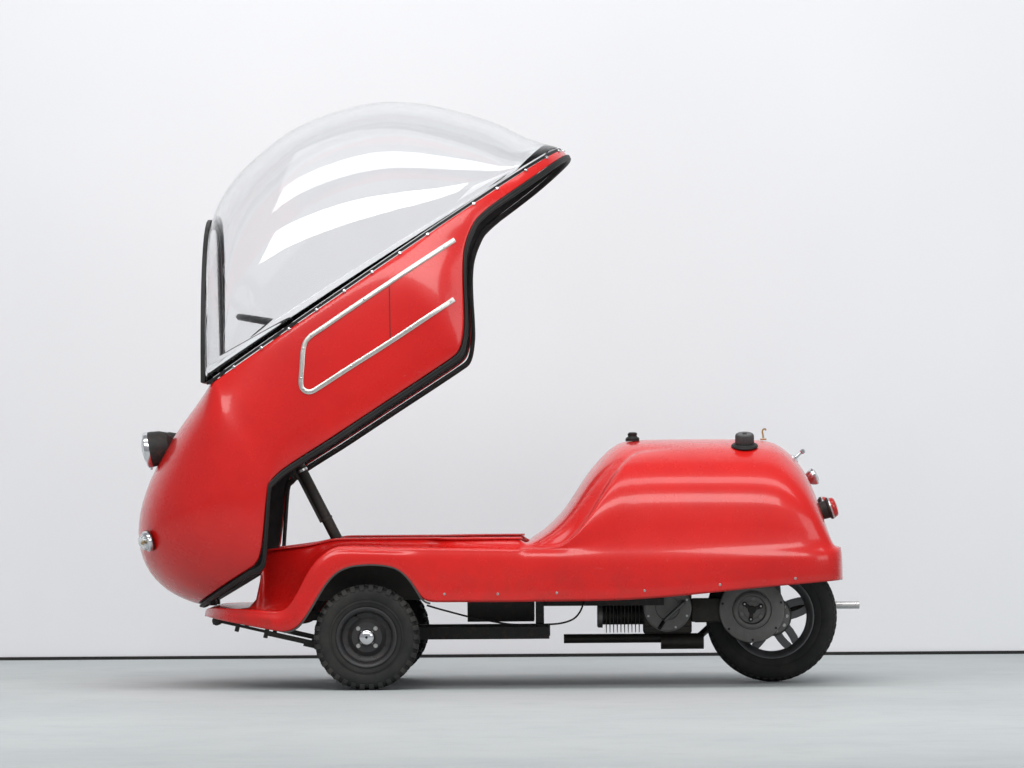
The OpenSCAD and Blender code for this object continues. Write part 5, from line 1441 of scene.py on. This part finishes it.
EY = 95.0
eng = [block("case", (ENGINE_X + 0.5, -EY + 14, 160.4), (ENGINE_X + 159.5, EY - 22, 399), OILY, 9, segments=3),
       lathe("case_side", [(0, 0), (74, 0), (78, 4), (78, 18), (72, 21.4), (40, 21.8), (38, 19), (0, 19)], ALLOY,
             (ENGINE_X + 79.5, EY - 22, 246), (0, 1, 0), 72),
       block("link", (COVER.x + 40.5, ARM_Y + 6.6, ENGINE_Z - 39), (ENGINE_X + 2, ARM_Y + 17, ENGINE_Z + 39), OILY, 4),
       lathe("flywheel", [(0, 0), (66, 0), (70, 4), (70, 12), (60, 13.6), (0, 13.6)], OILY,
             (ENGINE_X + 80, -EY + 14, 250), (0, -1, 0), 64)]
for k in range(8):
    a = 2 * math.pi * (k + 0.5) / 8
    eng.append(bolt("b", (ENGINE_X + 79.5 + 68 * math.cos(a), EY - 1.2, 246 + 68 * math.sin(a)), (0, 1, 0), 8,
                    DULL_CHROME, 3.6))
for z in (182, 204, 300, 322, 344, 366):
    eng.append(sweep("rib", [(ENGINE_X + 4, EY - 22, z), (ENGINE_X + 156, EY - 22, z)],
                     [(-3, 0), (-2, 6), (2, 6), (3, 0)], OILY, fixed=(0, 1, 0)))
carb = Vector((ENGINE_X + 120, 62, 330))
eng.append(lathe("carb", [(0, -26), (15, -26), (17, -20), (17, 20), (14, 26), (0, 26)], ALLOY, carb, (1, 0, 0), 32))
eng.append(lathe("bowl", [(0, -34), (12, -34), (14, -30), (14, 0), (0, 0)], ALLOY, carb, (0, 0, 1), 32))
ride_base(join("engine_casing", eng), "engine_block")

cz = 222
cyl = [lathe("barrel", [(0, 0), (32, 0), (32, 132), (0, 132)], OILY, (ENGINE_X + 160, 0, cz), (1, 0, 0), 48)]
for k in range(10):
    x = ENGINE_X + 170 + 12 * k
    cyl.append(lathe("fin", [(30, 0), (57.5, 0.7), (59, 1.6), (57.5, 3.2), (30, 4)], ALLOY, (x, 0, cz), (1, 0, 0), 56))
cyl.append(lathe("head", [(0, 132), (42, 132), (42, 146), (38, 150), (14, 150), (0, 150)], ALLOY,
                 (ENGINE_X + 160, 0, cz), (1, 0, 0), 48))
for k in range(4):
    a = math.pi / 4 + k * math.pi / 2
    cyl.append(bolt("b", (ENGINE_X + 309, 32 * math.cos(a), cz + 32 * math.sin(a)), (1, 0, 0), 8, DULL_CHROME, 1.0))
ride_base(join("engine_barrel", cyl), "engine_cylinder")

finish_node("exhaust", OILY, 0)
tip = (R - 295, -130, 246)
ride_base(join("tailpipe_sleeve", [
    lathe("tip", [(12.0, 2), (12.6, 0.4), (12.6, 112), (12.0, 113)], DULL_CHROME, tip, (1, 0, 0), 48),
    lathe("mouth", [(0, -0.4), (10.4, -0.4), (10.6, 0.2), (0, 0.2)], SEAL, tip, (1, 0, 0), 40)]))

a, b = Vector((ENGINE_X + 30, 128, 262)), Vector((ENGINE_X + 92, 140, 205))
e = Vector((ENGINE_X + 108, 172, 182))
kick = [sweep("lever", smooth_path([(a.x, EY + 0.5, a.z), (a.x, 120, a.z), a, a.lerp(b, 0.5), b, b.lerp(e, 0.35)], 6),
              ring_of(12.6, 14), ALLOY, fixed=(0.3, 0.2, 1)),
        sweep("pad", [b.lerp(e, t) for t in (0.2, 0.5, 0.8, 0.98)], ring_of(12.8, 16), SEAL, fixed=(0, 0, 1)),
        lathe("boss", [(6, 0.6), (9, 0.6), (9, 16), (7.5, 18), (6, 18)], ALLOY, (a.x, EY, a.z), (0, 1, 0), 28)]
ride_base(join("kick_lever_bent", kick), "kick_lever")

CABLE = [(232, 190, 262), (200, 186, 252), (150, 180, 238), (90, 176, 222), (20, 172, 208), (-40, 170, 198),
         (-100, 172, 197), (-150, 174, 197), (-200, 176, 200), (-240, 178, 212), (-262, 176, 232), (-274, 170, 256),
         (-284, 150, 282), (-300, 120, 300), (-330, 100, 310), (-380, 80, 312), (-470, 60, 310)]
ride_base(sweep("control_cable_run", smooth_path(CABLE, 5), ring_of(6, 10), SEAL, fixed=(0, 1, 0)), "control_cable")

# ------------------------------------------------------------------- chassis

for name, mat_, width in (("chassis_frame", BLACK_STEEL, 1.5), ("battery_tray", BLACK_STEEL, 1.5),
                          ("front_axle_beam", BLACK_STEEL, 1.2), ("leaf_springs", OILY, 0.8), ("tie_rod", OILY, 0.8),
                          ("knuckle_left", OILY, 0.8), ("knuckle_right", OILY, 0.8), ("swing_arm", BLACK_STEEL, 1.2),
                          ("rear_axle", DULL_CHROME, 0.6)):
    finish_node(name, mat_, width)

hardware = []
for side in (1, -1):
    hardware.append(bolt("b", (F + 496, side * (245 + 27.4), 218), (0, side, 0), 17, OILY, 8))
    for x in (F - 560 + 12, F + 22):
        hardware.append(bolt("b", (x, side * 162.2, 230), (0, side, 0), 12, OILY, 6))
    hardware.append(bolt("b", (R, side * (ARM_Y + 6), REAR_R) if side > 0 else (R, -(ARM_Y + 22), REAR_R),
                         (0, side, 0), 22, DULL_CHROME, 8))
    for x in (F - 200, F - 380, F - 520):
        hardware.append(bolt("b", (x, side * 170.2, 172), (0, side, 0), 10, OILY, 5))
ride_base(join("chassis_bolts", hardware))

# ----------------------------------------------------------- floor, light, camera


def concrete():
    s = Shader("studio_floor")
    big = s.noise(0.9, 7, 0.62)
    base = s.mix(s.ramp(big, (0.3, 0.0), (0.72, 1.0)), (0.44, 0.475, 0.48), (0.52, 0.55, 0.545))
    stains = s.ramp(s.noise(4.5, 8, 0.72), (0.5, 0.0), (0.74, 1.0))
    base = s.mix(s.times(stains, 0.30), base, (0.30, 0.335, 0.345))
    streak = s.ramp(s.noise(3, 6, 0.7, s.stretched((0.35, 3.2, 1))), (0.54, 0.0), (0.72, 1.0))
    base = s.mix(s.times(streak, 0.22), base, (0.56, 0.58, 0.57))
    s.color(base)
    s.rough(s.noise(6, 7, 0.7), 0.5, 0.78)
    s.put(Specular_IOR_Level=0.25)
    s.bump((s.noise(90, 5), 0.15, 0.002), (s.noise(5, 5), 0.2, 0.004))
    return s.mat


def backdrop_paint():
    s = Shader("backdrop")
    base = s.mix(s.ramp(s.noise(0.5, 3), (0.3, 0.0), (0.7, 1.0)), (0.83, 0.84, 0.855), (0.88, 0.885, 0.90))
    s.color(base)
    s.rough(s.noise(20, 4), 0.75, 0.9)
    # The wall is seen from its front only, so a view from its far side looks through it
    see = s.node("ShaderNodeMixShader")
    s.link(s.node("ShaderNodeNewGeometry").outputs["Backfacing"], see.inputs["Fac"])
    s.link(s.bsdf.outputs["BSDF"], see.inputs[1])
    s.link(s.node("ShaderNodeBsdfTransparent").outputs["BSDF"], see.inputs[2])
    s.link(see.outputs["Shader"], s.tree.nodes["Material Output"].inputs["Surface"])
    return s.mat


WALL_Y = -2.4
floor = to_mesh("floor", [(-14, WALL_Y, 0), (14, WALL_Y, 0), (14, 22, 0), (-14, 22, 0)], [(0, 1, 2, 3)],
                concrete(), False, scale=1)
wall = to_mesh("backdrop", [(-14, WALL_Y, 0), (14, WALL_Y, 0), (14, WALL_Y, 9), (-14, WALL_Y, 9)], [(3, 2, 1, 0)],
               backdrop_paint(), False, scale=1)
# A thin black strip along the foot of the wall: painted shade of the corner between floor and wall
corner_shade_strip = to_mesh("backdrop_corner_shade", [(-14, WALL_Y + 0.004, 0), (14, WALL_Y + 0.004, 0), (14, WALL_Y + 0.004, 0.012),
                                     (-14, WALL_Y + 0.004, 0.012)], [(0, 1, 2, 3)], SEAL, False, scale=1)


def lamp_panel(name, at, aim, size, power, tint=(1, 1, 1)):
    data = bpy.data.lights.new(name, "AREA")
    data.shape = "RECTANGLE"
    data.size, data.size_y, data.energy, data.color = size[0], size[1], power, tint
    ob = bpy.data.objects.new(name, data)
    bpy.context.scene.collection.objects.link(ob)
    ob.location = at
    ob.rotation_mode = "QUATERNION"
    ob.rotation_quaternion = (Vector(aim) - Vector(at)).to_track_quat("-Z", "Y")
    return ob


lamp_panel("key", (0.9, 5.4, 4.5), (0.1, 0, 0.9), (6.4, 1.25), 165, (1.0, 0.985, 0.97))
lamp_panel("fill", (-4.6, 5.6, 3.0), (-0.2, 0, 0.7), (3.0, 2.4), 60, (0.97, 0.985, 1.0))
lamp_panel("top", (0.2, 1.0, 5.4), (0, 0.2, 0.4), (6.0, 2.6), 90).visible_glossy = False
lamp_panel("wash", (0, 2.6, 6.4), (0, WALL_Y, 1.9), (9.0, 1.6), 185, (0.98, 0.99, 1.0))

world = bpy.data.worlds.new("studio")
bpy.context.scene.world = world
world.use_nodes = True
back = world.node_tree.nodes["Background"]
back.inputs["Color"].default_value = (0.93, 0.95, 1.0, 1)
back.inputs["Strength"].default_value = 0.38
bpy.context.scene.view_settings.view_transform = "Standard"

# The camera stands level with the seat, far back on the car's left, and looks along -Y
CAM = Vector((-0.323, 17.3, 0.70))
cam_data = bpy.data.cameras.new("camera")
cam_data.sensor_width, cam_data.lens = 36.0, 185.0
cam_data.shift_x, cam_data.shift_y = 0.0, 0.0
cam = bpy.data.objects.new("camera", cam_data)
bpy.context.scene.collection.objects.link(cam)
cam.location = CAM
YAW, PITCH, ROLL = math.radians(0.915), math.radians(0.936), math.radians(-0.4)
look = Vector((math.sin(YAW) * math.cos(PITCH), -math.cos(YAW) * math.cos(PITCH), math.sin(PITCH)))
cam.rotation_mode = "QUATERNION"
cam.rotation_quaternion = look.to_track_quat("-Z", "Y") @ Matrix.Rotation(ROLL, 3, "Z").to_quaternion()
bpy.context.scene.camera = cam
